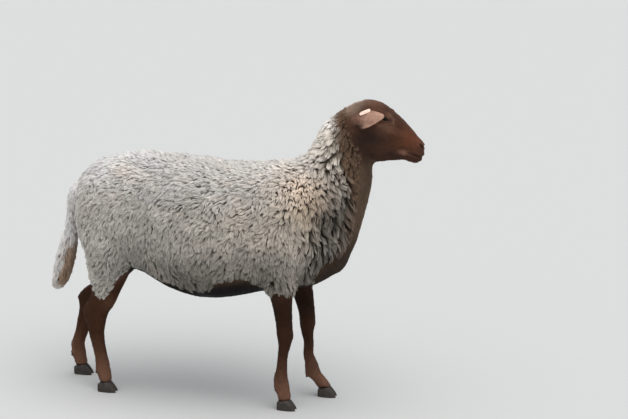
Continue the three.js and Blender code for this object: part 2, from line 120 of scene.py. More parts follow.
# The lie of the coat over the right side: (x, z) and the way it points there (dx, dz).
LIE = (
    ((0.214, 0.690), (-0.20, -0.98)), ((0.272, 0.618), (0.55, -0.83)),
    ((0.322, 0.566), (0.35, -0.94)), ((0.300, 0.500), (0.42, -0.91)),
    ((0.227, 0.550), (0.14, -0.99)), ((0.123, 0.581), (-0.38, -0.92)),
    ((0.163, 0.441), (0.02, -1.0)), ((0.181, 0.370), (0.12, -0.99)),
    ((0.120, 0.690), (-0.93, -0.35)), ((-0.003, 0.642), (-0.85, -0.50)),
    ((0.007, 0.700), (-0.99, -0.10)), ((-0.200, 0.700), (-0.99, -0.10)),
    ((-0.096, 0.625), (-0.90, -0.42)), ((-0.141, 0.592), (-0.82, -0.57)),
    ((-0.098, 0.534), (-0.74, -0.67)), ((-0.053, 0.468), (-0.35, -0.94)),
    ((-0.133, 0.416), (0.40, -0.92)), ((-0.199, 0.421), (0.30, -0.95)),
    ((0.029, 0.458), (-0.28, -0.96)), ((0.060, 0.530), (-0.50, -0.87)),
    ((-0.289, 0.609), (-0.66, -0.75)), ((-0.404, 0.594), (-0.40, -0.92)),
    ((-0.319, 0.503), (-0.06, -1.0)), ((-0.230, 0.520), (-0.30, -0.95)),
    ((-0.363, 0.346), (-0.42, -0.90)), ((-0.329, 0.307), (-0.34, -0.94)),
    ((0.292, 0.770), (-0.10, -0.99)), ((0.325, 0.729), (0.35, -0.94)),
    ((0.245, 0.800), (-0.60, -0.80)), ((0.330, 0.660), (0.30, -0.95)),
    ((0.370, 0.700), (0.10, -1.0)), ((0.385, 0.600), (-0.10, -1.0)),
    ((0.330, 0.420), (-0.55, -0.84)), ((0.500, 0.790), (-0.95, 0.12)),
    ((0.440, 0.780), (-0.97, -0.12)), ((0.380, 0.760), (-0.80, -0.60)),
    ((0.400, 0.880), (-0.97, -0.10)), ((0.350, 0.880), (-0.97, -0.25)),
    ((0.490, 0.740), (-0.97, -0.05)), ((0.300, 0.860), (-0.85, -0.50)),
    ((0.180, 0.200), (0.0, -1.0)), ((0.180, 0.080), (0.1, -1.0)),
    ((-0.370, 0.200), (0.0, -1.0)), ((-0.350, 0.080), (0.1, -1.0)),
)

# The locks by place: (x, z), their length and spacing, how blunt they end, how deeply they part.
LOCKS = (
    ((0.05, 0.70), 0.027, 0.0082, 0.85, 0.15), ((-0.25, 0.69), 0.026, 0.0080, 0.85, 0.15),
    ((-0.36, 0.62), 0.025, 0.0078, 0.85, 0.18), ((-0.42, 0.55), 0.025, 0.0078, 0.80, 0.20),
    ((-0.30, 0.52), 0.028, 0.0084, 0.75, 0.30), ((-0.33, 0.40), 0.028, 0.0090, 0.65, 0.35),
    ((-0.34, 0.30), 0.030, 0.0100, 0.45, 0.45), ((-0.15, 0.58), 0.030, 0.0088, 0.75, 0.32),
    ((-0.12, 0.45), 0.034, 0.0096, 0.62, 0.42), ((-0.15, 0.36), 0.036, 0.0110, 0.45, 0.50),
    ((0.02, 0.55), 0.030, 0.0090, 0.70, 0.34), ((0.03, 0.42), 0.034, 0.0100, 0.60, 0.42),
    ((0.14, 0.50), 0.031, 0.0094, 0.65, 0.42), ((0.17, 0.38), 0.036, 0.0115, 0.42, 0.55),
    ((0.12, 0.62), 0.028, 0.0086, 0.80, 0.30), ((0.22, 0.66), 0.022, 0.0090, 1.00, 0.36),
    ((0.28, 0.60), 0.040, 0.0120, 0.60, 0.76), ((0.335, 0.60), 0.066, 0.0135, 0.62, 1.00),
    ((0.32, 0.54), 0.074, 0.0140, 0.62, 1.00), ((0.28, 0.48), 0.062, 0.0135, 0.55, 0.96),
    ((0.285, 0.755), 0.032, 0.0210, 1.00, 0.82), ((0.30, 0.70), 0.036, 0.0160, 0.85, 0.88),
    ((0.34, 0.72), 0.024, 0.0085, 0.60, 0.70), ((0.24, 0.79), 0.025, 0.0095, 0.90, 0.20),
    ((0.33, 0.80), 0.022, 0.0075, 0.60, 0.50), ((0.30, 0.86), 0.015, 0.0070, 0.65, 0.25),
)
TAIL_LOCKS = (0.034, 0.0090, 0.6, 0.15)  # the same for the whole tail
LOCKS_BLEND = 0.025  # about how far a row of LOCKS reaches
LONG_LOCK = 0.035  # from this length on, strands are drawn with one more bend
SHORT_STEPS, LONG_STEPS = (0, 0.46, 0.84, 1.0), (0, 0.30, 0.57, 0.84, 1.0)  # rings, as shares of the length

# How a lock's ground lies, as shares of its spacing.
LOCK_REACH = 0.78  # from its root to the furthest strand
LOCK_EDGE = 0.30  # the outer band, where strands are shorter and darker with painted shade between the locks
PARTINGS = (0.02, 0.19)  # left bare round a lock, and added to that where locks part most

# Strands of wool. The rows that run along a strand give shares of its length and the values there.
RUNS = 4  # lengths that a lock's middle line is drawn in
STRAYS = 0.06  # share of strands that stray from their lock
STRAND_TAPER = ((0, 0.4, 0.75, 1), (0.9, 1.08, 0.92, 0.62))
STRAND_SHADE = ((0, 0.25, 0.55, 0.8, 1), (0.46, 0.68, 0.90, 1.0, 1.05))
SHADE_TINT = (1.0, 0.92, 0.82)  # the warm light deep between strands
SKIN_TINT = (0.0, 0.12, 0.28)  # taken from the skin under the wool, which turns its painted shade browner
CLEFT_SHADE, CLEFT_SKIN_SHADE = 0.55, 0.72  # how much darker the cleft's wool and skin are

SECTION_WIDTH = 1.7  # of a strand's three-sided section, over the distance of its corners
BAKE_PATCH = 0.003  # side of a strand's patch on the flat layout
MOST_IN_A_PIECE = 185000  # triangles, as a first count
CUT_FILL = 0.6 * MM  # how far each flesh part swells, to close the thin cuts between them

# Short hair.
HAIR_FROM = 0.024  # lowest roots, at the top of the claws
HEM_BELOW = 0.042  # under this height the hair hangs over the claws
FINENESS_BANDS = ((0, 0.36), (0.36, 0.5), (0.5, 0.75), (0.75, 3))  # each is scattered at one spacing
HAIR_SHADE = (0.86, 1.02, 1.12)  # from root to tip
LASH_BLACK, LASH_WIDTHS = (0.02, 0.013, 0.01), (0.45 * MM, 0.32 * MM)
LASHES_ON_A_LID = 34

CORNEA = 0.7 * MM  # how far it stands off the ball of the eye
CLAW_GRAIN = 1.3 * MM  # size of the faces of the claws


# ---- settings ----------------------------------------------------------------------------------
def length(name, note, default):
    """A length setting, in metres."""
    return bpy.props.FloatProperty(
        name=name, description=note, default=default, min=0, unit="LENGTH", subtype="DISTANCE", precision=5
    )


def channel(value):
    """One screen value up to 255 as light."""
    share = value / 255
    return share / 12.92 if share <= 0.04045 else ((share + 0.055) / 1.055) ** 2.4


def light(red, green, blue):
    """A colour given as screen values up to 255, as light."""
    return [channel(value) for value in (red, green, blue)]


def colour(name, note, red, green, blue):
    """A colour setting, its default given as screen values up to 255."""
    return bpy.props.FloatVectorProperty(
        name=name, description=note, default=light(red, green, blue), size=3, min=0, max=1, subtype="COLOR"
    )


# Shades that the coat turns to in places. Some stand for painted shade and painted highlights.
THROAT = light(100, 81, 64)
SHADED_HAIR = light(47, 35, 29)
PALE_AND_LIT_HAIR = light(142, 104, 86)
GREY_POLL = light(158, 134, 116)
PALE_FEET_AND_HIGHLIGHT = light(122, 87, 69)
TAIL_BROWN = light(158, 126, 98)
FRONT_TINT = (0.02, -0.01, -0.05)  # added to the wool of the front half, as shares of its own light
SHOULDER_TINT = (0.06, -0.05, -0.16)  # and again over the shoulder

# Spots of those shades, alike on both sides: the place, its reach each way and its share of the shade.
# Painted highlights on the hock and the knee, in the pale tone of the feet.
JOINT_HIGHLIGHTS = (
    ((-0.325, 0.09, 0.262), (0.02, 0.05, 0.024), 0.30),  # hock
    ((0.262, 0.10, 0.205), (0.02, 0.05, 0.03), 0.30),  # knee
)
MUZZLE_SPOTS = (((0.495, 0.035, 0.790), (0.040, 0.05, 0.032), 0.9),)
# Darker spots, mostly painted shade: behind and under the jaw, on the cheek under the ear, in the tear pit,
# in the nostril and under the chin.
SHADE_SPOTS = (
    ((0.350, 0.05, 0.740), (0.030, 0.05, 0.030), 0.45),  # behind the jaw
    ((0.432, 0.045, 0.868), (0.020, 0.03, 0.010), 0.35),  # over the eye
    ((0.385, 0.055, 0.790), (0.050, 0.05, 0.037), 0.90),  # cheek
    ((0.45, 0.045, 0.745), (0.08, 0.05, 0.022), 0.65),  # lower jaw
    ((0.35, 0.05, 0.775), (0.03, 0.05, 0.05), 0.5),
    ((0.455, 0.02, 0.850), (0.05, 0.012, 0.03), 0.35),
    ((0.4376, 0.046, 0.8385), (0.0045, 0.02, 0.006), 0.8),  # inner corner of the eye
    ((0.526, 0.012, 0.769), (0.007, 0.010, 0.006), 0.7),  # nostril
    ((0.515, 0.010, 0.733), (0.014, 0.02, 0.008), 0.6),  # chin
)
# Paler spots: the corner of the mouth and the base of the ear have paler hair; the spots by and under the
# eye, on the cheek and on the forehead are painted highlights.
PALE_AND_LIT_SPOTS = (
    ((0.4767, 0.032, 0.7535), (0.013, 0.02, 0.007), 0.85),  # corner of the mouth
    ((0.4340, 0.047, 0.856), (0.006, 0.02, 0.012), 0.55),  # ahead of the eye
    ((0.4440, 0.043, 0.838), (0.005, 0.02, 0.010), 0.55),
    ((0.4180, 0.056, 0.830), (0.018, 0.02, 0.007), 0.65),  # under the eye
    ((0.420, 0.05, 0.815), (0.03, 0.03, 0.015), 0.25),
    ((0.400, 0.02, 0.893), (0.03, 0.03, 0.012), 0.30),  # forehead
    ((0.345, 0.065, 0.840), (0.024, 0.03, 0.024), 0.55),  # base of the ear
)


class EweSkinSettings(bpy.types.PropertyGroup):
    grain: length("Grain", "Size of the skin's faces on the trunk", 0.008)
    fleece_depth: length("Fleece depth", "How far the skin lies under the wool's tips", 0.017)
    hair_depth: length("Hair depth", "How far the skin lies under the short hair's tips", 0.0015)
    hair: colour("Hair", "Russet hair of the head and neck", 85, 54, 39)
    muzzle: colour("Muzzle", "Redder hair on the sides of the muzzle", 105, 62, 42)
    leg: colour("Legs", "Dark hair of the legs", 56, 33, 19)
    belly: colour("Belly", "Hair under the belly", 15, 12, 9)
    ear: colour("Ears", "Fine hair on the back of the ears", 174, 136, 117)
    wool: colour("Wool", "Weathered outer wool", 211, 205, 196)
    bleached: colour("Bleached wool", "Wool along the back", 212, 209, 206)
    stained: colour("Stained wool", "Tan wool over the shoulders", 240, 223, 207)
    collar: colour("Collar", "Brown crimped wool behind the head", 112, 88, 70)


class EweFleeceSettings(bpy.types.PropertyGroup):
    strand: length("Strand", "Width of a strand of wool", 0.0025)
    between: length("Between", "Distance between the strands' roots", 0.0031)
    crimp: length("Crimp", "How far a lock waves to each side", 0.0026)
    seed: bpy.props.IntProperty(name="Seed", description="Fixes the chance in the fleece", default=11)


class EweHairSettings(bpy.types.PropertyGroup):
    spacing: length("Spacing", "Distance between tufts of short hair", 0.0045)
    tuft: length("Tuft", "Length of the tufts on the neck", 0.012)
    width: length("Width", "Width of those tufts at the root", 0.0018)
    seed: bpy.props.IntProperty(name="Seed", description="Fixes the chance in the hair", default=5)


class EweDetailSettings(bpy.types.PropertyGroup):
    iris: colour("Iris", "Brown of the eyes", 52, 33, 20)
    horn: colour("Horn", "Horn of the claws", 62, 51, 42)
    tag: colour("Tag", "Plastic of the ear tag", 250, 214, 196)
    tag_length: length("Tag length", "Length of the ear tag's front plate", 0.034)
    tag_width: length("Tag width", "Width of that plate", 0.014)


class EweStageSettings(bpy.types.PropertyGroup):
    floor: colour("Floor", "Plain floor", 186, 185, 182)
    sky: bpy.props.FloatProperty(
        name="Sky", description="Strength of the soft light from all round", default=0.60, min=0
    )
    overhead: bpy.props.FloatProperty(
        name="Overhead", description="Strength of the broad soft light above", default=3.1, min=0
    )


# ---- numbers over many places at once ----------------------------------------------------------
def smooth(low, high, value):
    """0 up to low, 1 from high on and an even rise between. With low above high it falls."""
    share = np.clip((value - low) / (high - low), 0, 1)
    return share * share * (3 - 2 * share)


def unit(vectors):
    vectors = np.asarray(vectors, float)
    return vectors / np.maximum(np.linalg.norm(vectors, axis=-1, keepdims=True), 1e-12)


def dot(a, b):
    return np.sum(a * b, axis=-1)


def chance_at(cells, seed):
    """A number from -1 to 1 that is fixed for each whole-numbered cell."""
    with np.errstate(over="ignore"):
        stirred = (cells.astype(np.int64) * np.array([73856093, 19349663, 83492791])).sum(-1)
        stirred = (stirred + seed * 2654435761) & 0xFFFFFFFF
        stirred = ((stirred ^ (stirred >> 15)) * 2246822519) & 0xFFFFFFFF
        stirred = ((stirred ^ (stirred >> 13)) * 3266489917) & 0xFFFFFFFF
    return (stirred ^ (stirred >> 16)) / 0x7FFFFFFF - 1.0


def drift(points, scale, seed):
    """Smooth chance, from -1 to 1, that changes over about this distance."""
    cells = np.floor(points / scale)
    part = points / scale - cells
    part = part * part * (3 - 2 * part)
    total = np.zeros(len(points))
    for corner in np.ndindex(2, 2, 2):
        share = np.prod(np.where(corner, part, 1 - part), axis=1)
        total += share * chance_at(cells + corner, seed)
    return total


def from_line(points, line):
    """Distance of each point from a run of straight lengths, and how far along it that is."""
    line = np.asarray(line, float)
    best = np.full(len(points), 1e9)
    along = np.zeros(len(points))
    for k, (start, end) in enumerate(zip(line[:-1], line[1:])):
        run = end - start
        share = np.clip(dot(points - start, run) / dot(run, run), 0, 1)
        gap = np.linalg.norm(points - start - share[:, None] * run, axis=1)
        nearer = gap < best
        best[nearer] = gap[nearer]
        along[nearer] = (k + share[nearer]) / (len(line) - 1)
    return best, along


def reach_inside(flat, outline):
    """Distance of flat points from a closed outline, above zero inside it."""
    ring = np.array(outline + outline[:1])
    gap, _ = from_line(flat, ring)
    inside = np.zeros(len(flat), bool)
    for (ax, az), (bx, bz) in zip(ring[:-1], ring[1:]):
        between = (az > flat[:, 1]) != (bz > flat[:, 1])
        crossing = ax + (flat[:, 1] - az) * (bx - ax) / (bz - az if bz != az else 1e-9)
        inside ^= between & (flat[:, 0] < crossing)
    return np.where(inside, gap, -gap)


def flattened(points):
    """The places as seen straight from the side: (x, z)."""
    return np.stack([points[:, 0], points[:, 2]], axis=1)


def mirrored(points):
    """The places of the right half brought over to the left."""
    return points * np.array([1, 0, 1]) + np.abs(points) * np.array([0, 1, 0])


# ---- what grows where --------------------------------------------------------------------------
def side_view(points):
    """The places as seen from the side, with the left legs brought to where the right ones are."""
    x, z = points[:, 0], points[:, 2]
    fore = np.interp(z, *FORE_STEP)
    hind = np.interp(z, *HIND_STEP)
    step = np.where(x > BETWEEN_LEGS, fore, hind) * (points[:, 1] > 0)
    return np.stack([x - step, z], axis=1)


def tail_share(points):
    """1 on the tail and 0 elsewhere."""
    gap, _ = from_line(flattened(points), TAIL_LINE[1:])
    near = (np.abs(points[:, 1]) < 0.045) & (points[:, 0] < -0.425)
    return np.where(near, 1 - smooth(0.034, 0.046, gap), 0)


def cleft_share(places):
    """1 in the cleft between the tail's root and the buttock, which is painted dark as shade, and 0 away
    from it.
    """
    plain, added, height, reach = CLEFT_WIDTH
    start, fading, gone = CLEFT_SPAN
    beside = np.abs(places[:, 1])
    level = places[:, 0] - CLEFT_SLANT * (beside - CLEFT_SEAT)
    gap, _ = from_line(np.stack([level, places[:, 2]], axis=1), CLEFT_LINE)
    wide = plain + added * np.exp(-(((places[:, 2] - height) / reach) ** 2))
    return smooth(1.4, 0.7, gap / wide) * (beside > start) * smooth(gone, fading, beside)


def wool_share(points, normals, reach=0.008):
    """1 where wool grows and 0 where the coat is short hair, turning over this reach."""
    flat = side_view(points)
    edge = reach_inside(flat, WOOL_EDGE)
    edge += 0.005 * drift(points, 0.03, 3) + 0.003 * drift(points, 0.012, 4)
    wool = smooth(-0.006, reach, edge)
    outward = normals[:, 1] * np.sign(points[:, 1])
    low = 1 - smooth(0.335, 0.385, flat[:, 1])
    wool *= 1 - low * (1 - smooth(-0.30, 0.10, outward))
    under = smooth(0.60, 0.86, -normals[:, 2]) * (1 - smooth(0.36, 0.40, flat[:, 1]))
    wool *= 1 - under
    return np.maximum(wool, tail_share(points))


def poll_share(points):
    """1 on the frizzy crown between the ears, fading away from it."""
    return round_spot(points, (0.325, 0.0, 0.895), (0.050, 0.042, 0.026))


def coat_depth(points, normals, settings):
    """How far the skin lies under the tips of the coat."""
    x, z = points[:, 0], points[:, 2]
    near_head = smooth(0.60, 0.66, z) * smooth(0.10, 0.20, x)
    wool = wool_share(points, normals, 0.016) * (1 - near_head)
    wool += wool_share(points, normals, 0.060) * near_head
    depth = np.full(len(points), settings.fleece_depth)
    depth *= 1 + 0.45 * np.exp(-(((x - 0.32) / 0.06) ** 2) - ((z - 0.54) / 0.08) ** 2)
    depth *= 1 - 0.30 * smooth(0.40, 0.28, z)
    depth *= 1 - 0.25 * smooth(0.74, 0.84, z)
    depth *= 1 - 0.15 * smooth(-0.25, -0.38, x)
    depth = np.where(tail_share(points) > 0.5, 0.5 * settings.fleece_depth, depth)
    hair = settings.hair_depth + 0.005 * poll_share(points)
    return hair + (depth - hair) * wool


def nearby(flat, table, columns, reach=0.03):
    """Blends the table's rows by their nearness to each place."""
    spots = np.array([row[0] for row in table])
    values = np.array([columns(row) for row in table])
    gap = np.linalg.norm(flat[:, None, :] - spots[None], axis=2)
    weight = 1 / (gap**2 + reach**2) ** 2
    return (weight @ values) / weight.sum(1, keepdims=True)


def lie_of_coat(points, normals, ear_heading=None, ear=None):
    """The way the coat points at each place, along the skin."""
    side = np.sign(points[:, 1] + 1e-9)
    flat = nearby(side_view(points), LIE, lambda row: row[1])
    spread = 0.75 * np.maximum(normals[:, 2], 0) * smooth(0.01, 0.10, np.abs(points[:, 1]))
    way = np.stack([flat[:, 0], side * spread, flat[:, 1]], axis=1)
    _, along = from_line(flattened(points), TAIL_LINE)
    line = np.array(TAIL_LINE)
    leg = np.minimum((along * (len(line) - 1)).astype(int), len(line) - 2)
    down = unit(line[leg + 1] - line[leg])
    tail = tail_share(points)[:, None]
    way = way * (1 - tail) + np.stack([down[:, 0], 0 * along, down[:, 1]], axis=1) * tail
    if ear is not None:
        way = way * (1 - ear[:, None]) + ear_heading * ear[:, None]
    return unit(way - dot(way, normals)[:, None] * normals)


def turned(way, normals, angle):
    """Directions along the skin, turned on it by these angles."""
    across = np.cross(normals, way)
    return way * np.cos(angle)[:, None] + across * np.sin(angle)[:, None]


def mixed(base, other, share):
    """A tone at each place, turned towards another by its share there."""
    return base + (np.array(other)[None] - base) * share[:, None]


def round_spot(points, centre, radii):
    """1 at a place and falling away from it, alike on both sides of the body."""
    return np.exp(-(((mirrored(points) - np.array(centre)) / np.array(radii)) ** 2).sum(1))


def spotted(tone, points, spots, shade):
    """The tone with each spot of a table turned towards its shade."""
    for place, reach, share in spots:
        tone = mixed(tone, shade, share * round_spot(points, place, reach))
    return tone


def ear_tone_at(points, settings):
    """The ears' colour: as the head at the root, paler along the leaf and palest at its edges, with a
    painted shadow on the lower edge near the root.
    """
    side = np.where(points[:, 1] < 0, -1, 1)
    tone = np.tile(np.array(settings.ear), (len(points), 1))
    for name, sign in SIDES.items():
        place = np.array(ear_place(name).inverted())
        local = points @ place[:3, :3].T + place[:3, 3]
        along, across = local[:, 0] / EAR_LENGTH, local[:, 1] / EAR_HALF
        # A painted shadow along the lower edge near the root.
        notch_shade = smooth(-0.36, -0.60, across) * smooth(0.04, 0.12, along) * smooth(0.40, 0.32, along)
        pale = smooth(-0.45, -0.90, across) * smooth(0.15, 0.4, along) + 0.7 * smooth(0.6, 0.95, along)
        shade = mixed(tone, settings.hair, 0.80 * smooth(0.50, 0.16, along))
        shade = mixed(shade, SHADED_HAIR, 0.8 * notch_shade)
        shade = mixed(shade, settings.hair, 0.25 * smooth(0.3, 1.0, across))
        shade = mixed(shade, np.array(settings.ear) * 1.6, 0.7 * np.clip(pale, 0, 1))
        tone = np.where((side == sign)[:, None], shade, tone)
    return tone * (1 + 0.16 * drift(points, 0.010, 41) + 0.08 * drift(points, 0.004, 42))[:, None]


def hair_tone_at(points, normals, flat, settings):
    """The short hair's colour: dark legs and belly, a russet head with paler and darker places, many of
    them painted shade and highlights.
    """
    x, z = flat[:, 0], flat[:, 1]
    throat = smooth(0.42, 0.395, x) * smooth(0.32, 0.40, z) * smooth(0.77, 0.70, z)
    under = smooth(0.3, 0.8, -normals[:, 2]) * smooth(0.46, 0.38, z) * smooth(0.26, 0.31, z)
    # The fore legs darker at the top, under the body: painted shade. The hind legs a little lighter.
    leg = np.array(settings.leg) * np.where(x < -0.1, 1.3, 1 - 0.4 * smooth(0.22, 0.28, z))[:, None]
    hair = np.tile(np.array(settings.hair), (len(points), 1))
    hair = mixed(hair, THROAT, throat)
    # Painted shade on the brisket, under the chest.
    hair = mixed(hair, SHADED_HAIR, 0.8 * smooth(0.56, 0.44, z) * smooth(0.22, 0.30, x))
    hair = hair + (leg - hair) * smooth(0.42, 0.28, z)[:, None]
    # Paler towards the ground, then painted highlights on the hocks and knees.
    hair = mixed(hair, PALE_FEET_AND_HIGHLIGHT, 0.95 * smooth(0.20, 0.01, z) ** 1.5)
    hair = spotted(hair, points, JOINT_HIGHLIGHTS, PALE_FEET_AND_HIGHLIGHT)
    # Darker under the belly: partly its own dark hair and partly painted shade.
    hair = mixed(hair, settings.belly, under * (1 - 0.75 * smooth(0.20, 0.32, x)))
    hair = spotted(hair, points, MUZZLE_SPOTS, settings.muzzle)
    # Painted shade on the head.
    hair = spotted(hair, points, SHADE_SPOTS, SHADED_HAIR)
    # Paler hair and painted highlights on the head.
    hair = spotted(hair, points, PALE_AND_LIT_SPOTS, PALE_AND_LIT_HAIR)
    crown = smooth(0.25, 0.75, normals[:, 2]) * smooth(0.835, 0.862, z) * smooth(0.375, 0.325, x)
    hair = mixed(hair, GREY_POLL, np.clip(0.5 * poll_share(points) + 0.70 * crown, 0, 0.80))
    return hair * (1 + 0.16 * drift(points, 0.035, 21) + 0.10 * drift(points, 0.009, 22))[:, None]


def wool_tone_at(points, normals, flat, settings):
    """The wool's colour: pale along the back, darkened with painted shade below and on the chest, brown
    behind the head and in the tail.
    """
    x, z = flat[:, 0], flat[:, 1]
    wool = np.tile(np.array(settings.wool), (len(points), 1))
    wool = mixed(wool, settings.bleached, smooth(0.20, 0.80, normals[:, 2]))
    wool *= 1 + smooth(-0.25, 0.05, x)[:, None] * np.array(FRONT_TINT)
    flanks = smooth(-0.34, -0.20, x) * smooth(0.24, 0.14, x)
    shaded_underside = smooth(0.52, 0.34, z) * smooth(-0.42, -0.20, x)
    shaded_chest = smooth(0.19, 0.29, x) * smooth(0.76, 0.60, z)
    neck = smooth(0.70, 0.76, z) * smooth(0.15, 0.22, x)
    # The underside and the chest darkened with painted shade, the flanks a little darker and the top of the
    # neck lighter.
    for lighter, where in ((-0.15, flanks), (-0.64, shaded_underside), (-0.78, shaded_chest), (0.26, neck)):
        wool *= (1 + lighter * where)[:, None]
    wool = mixed(wool, np.array(settings.bleached) * 1.3, 0.9 * tail_share(points))
    stain = round_spot(points, (0.20, 0.10, 0.660), (0.085, 0.12, 0.045))
    stain += 0.6 * round_spot(points, (-0.27, 0.12, 0.66), (0.06, 0.12, 0.025))
    stain += 0.25 * smooth(0.1, 0.7, drift(points, 0.05, 31))
    wool = mixed(wool, settings.stained, np.clip(0.7 * stain, 0, 1))
    tan = round_spot(points, (0.225, 0.10, 0.605), (0.065, 0.12, 0.065))
    wool *= 1 + tan[:, None] * np.array(SHOULDER_TINT)
    brown = smooth(-0.026, 0.010, x - np.interp(z, *COLLAR)) * smooth(0.60, 0.65, z)
    front = smooth(0.030, 0.006, reach_inside(flat, WOOL_EDGE)) * smooth(0.28, 0.33, x)
    front *= smooth(0.42, 0.48, z) * smooth(0.68, 0.62, z)
    wool = mixed(wool, settings.collar, np.clip(brown + 0.65 * front, 0, 1))
    line = np.array(TAIL_LINE[::-1])
    ahead = points[:, 0] - np.interp(points[:, 2], line[:, 1], line[:, 0])
    inner = tail_share(points) * smooth(-0.014, 0.002, ahead) * smooth(0.45, 0.40, z)
    wool = mixed(wool, TAIL_BROWN, 0.9 * inner * smooth(0.285, 0.31, z))
    return wool * (1 + 0.10 * drift(points, 0.03, 32) + 0.06 * drift(points, 0.008, 33))[:, None]


def coat_colour(points, normals, wool, ear, settings):
    """The coat's colour at each place, with its painted shade and highlights, before the painted shade of
    roots, edges and grooves is added.
    """
    flat = side_view(points)
    hair = hair_tone_at(points, normals, flat, settings)
    tone = hair + (wool_tone_at(points, normals, flat, settings) - hair) * wool[:, None]
    tone = tone + (ear_tone_at(points, settings) - tone) * ear[:, None]
    return np.clip(tone, 0.004, 1)


# ---- meshes ------------------------------------------------------------------------------------
def only(obj):
    """Selects one object alone and makes it the active one."""
    if bpy.context.mode != "OBJECT":
        bpy.ops.object.mode_set(mode="OBJECT")
    bpy.ops.object.select_all(action="DESELECT")
    obj.select_set(True)
    bpy.context.view_layer.objects.active = obj


def new_object(name, mesh):
    obj = bpy.data.objects.new(name, mesh)
    bpy.context.scene.collection.objects.link(obj)
    return obj


def merge_doubles(obj, distance):
    """Merges the points of a mesh that lie this near to each other."""
    only(obj)
    bpy.ops.object.mode_set(mode="EDIT")
    bpy.ops.mesh.select_all(action="SELECT")
    bpy.ops.mesh.remove_doubles(threshold=distance)
    bpy.ops.object.mode_set(mode="OBJECT")


def settle(obj):
    """Moves an object's place and turn into its mesh."""
    only(obj)
    bpy.ops.object.transform_apply(location=True, rotation=True, scale=True)


def copied(node):
    """A free copy of a CAD node, its loose triangles merged."""
    obj = new_object("copy_of_" + node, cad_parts[node].data.copy())
    merge_doubles(obj, 1e-5)
    return obj


def apply_modifier(obj, kind, **values):
    """Adds a modifier, sets it up and applies it."""
    only(obj)
    modifier = obj.modifiers.new(kind.title(), kind)
    for name, value in values.items():
        setattr(modifier, name, value)
    bpy.ops.object.modifier_apply(modifier=modifier.name)


def joined(objects):
    """Makes one object of several."""
    only(objects[0])
    for obj in objects:
        obj.select_set(True)
    bpy.ops.object.join()
    return bpy.context.view_layer.objects.active


def vector_list(items, name, width=3):
    """One value of each item of a Blender list, as rows."""
    found = np.empty(len(items) * width, np.float32)
    items.foreach_get(name, found)
    return found.reshape(-1, width).astype(float)


def points_of(mesh):
    return vector_list(mesh.vertices, "co")


def put_points(mesh, points):
    mesh.vertices.foreach_set("co", points.astype(np.float32).ravel())
    mesh.update()


def edges_of(mesh):
    found = np.empty(len(mesh.edges) * 2, np.int32)
    mesh.edges.foreach_get("vertices", found)
    return found.reshape(-1, 2)


def relaxed(values, edges, rounds, weight=1.0, pushes=(0.5, -0.51)):
    """Evens out values over a mesh's edges, with little loss of volume."""
    values = np.array(values, float)
    flat = values.reshape(len(values), -1)
    count = np.maximum(np.bincount(edges.ravel(), minlength=len(flat)), 1)
    weight = np.broadcast_to(weight, len(flat))
    for _ in range(rounds):
        for push in pushes:
            around = np.empty_like(flat)
            for k in range(flat.shape[1]):
                total = np.bincount(edges[:, 0], flat[edges[:, 1], k], len(flat))
                total += np.bincount(edges[:, 1], flat[edges[:, 0], k], len(flat))
                around[:, k] = total / count
            flat += (push * weight)[:, None] * (around - flat)
    return flat.reshape(values.shape)


def set_attribute(mesh, name, kind, values):
    attribute = mesh.attributes.get(name) or mesh.attributes.new(name, kind, "POINT")
    key = {"FLOAT": "value", "FLOAT_VECTOR": "vector", "FLOAT_COLOR": "color"}[kind]
    attribute.data.foreach_set(key, np.asarray(values, np.float32).ravel())


def get_attribute(mesh, name, width=1):
    key = "value" if width == 1 else "vector"
    found = vector_list(mesh.attributes[name].data, key, width)
    return found[:, 0] if width == 1 else found


def note_coat(mesh, outer, wool, ear):
    """Keeps on each point of the skin what the coat needs to know, with no groove yet."""
    set_attribute(mesh, "outer", "FLOAT_VECTOR", outer)
    for name, values in (("wool", wool), ("ear", ear), ("groove", np.zeros(len(outer)))):
        set_attribute(mesh, name, "FLOAT", values)


def with_alpha(colours):
    return np.concatenate([colours, np.ones((len(colours), 1))], axis=1)


def finer(obj, wanted):
    """Splits each wanted face in four."""
    only(obj)
    bpy.context.tool_settings.mesh_select_mode = (False, False, True)
    bpy.ops.object.mode_set(mode="EDIT")
    bpy.ops.mesh.select_all(action="DESELECT")
    bpy.ops.object.mode_set(mode="OBJECT")
    obj.data.polygons.foreach_set("select", wanted)
    bpy.ops.object.mode_set(mode="EDIT")
    bpy.ops.mesh.subdivide(number_cuts=1, ngon=False)
    bpy.ops.object.mode_set(mode="OBJECT")


def face_centres(mesh):
    return vector_list(mesh.polygons, "center")


def finished(obj, name, material, *, nodes=()):
    """Names a piece, gives it its material, hangs it from the frame's root and hides the nodes it replaces.
    """
    obj.name = name
    obj.data.name = name
    obj.data.materials.clear()
    obj.data.materials.append(material)
    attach(obj, "root")
    if nodes:
        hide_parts(*nodes)


def shade_smooth(obj):
    obj.data.polygons.foreach_set("use_smooth", np.ones(len(obj.data.polygons), bool))
    obj.data.update()


# ---- the skin ----------------------------------------------------------------------------------
def flesh_nodes():
    return sorted(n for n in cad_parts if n.rsplit("_", 1)[-1] not in SEPARATE)


def fused_flesh(grain):
    """The flesh and the eyes as one closed skin of even faces. The eyes fill their sockets."""
    parts = [copied(name) for name in [*flesh_nodes(), "right_eye", "left_eye"]]
    for part in parts:
        apply_modifier(part, "DISPLACE", strength=CUT_FILL, mid_level=0.0)
    skin = joined(parts)
    apply_modifier(skin, "REMESH", mode="VOXEL", voxel_size=grain)
    return skin


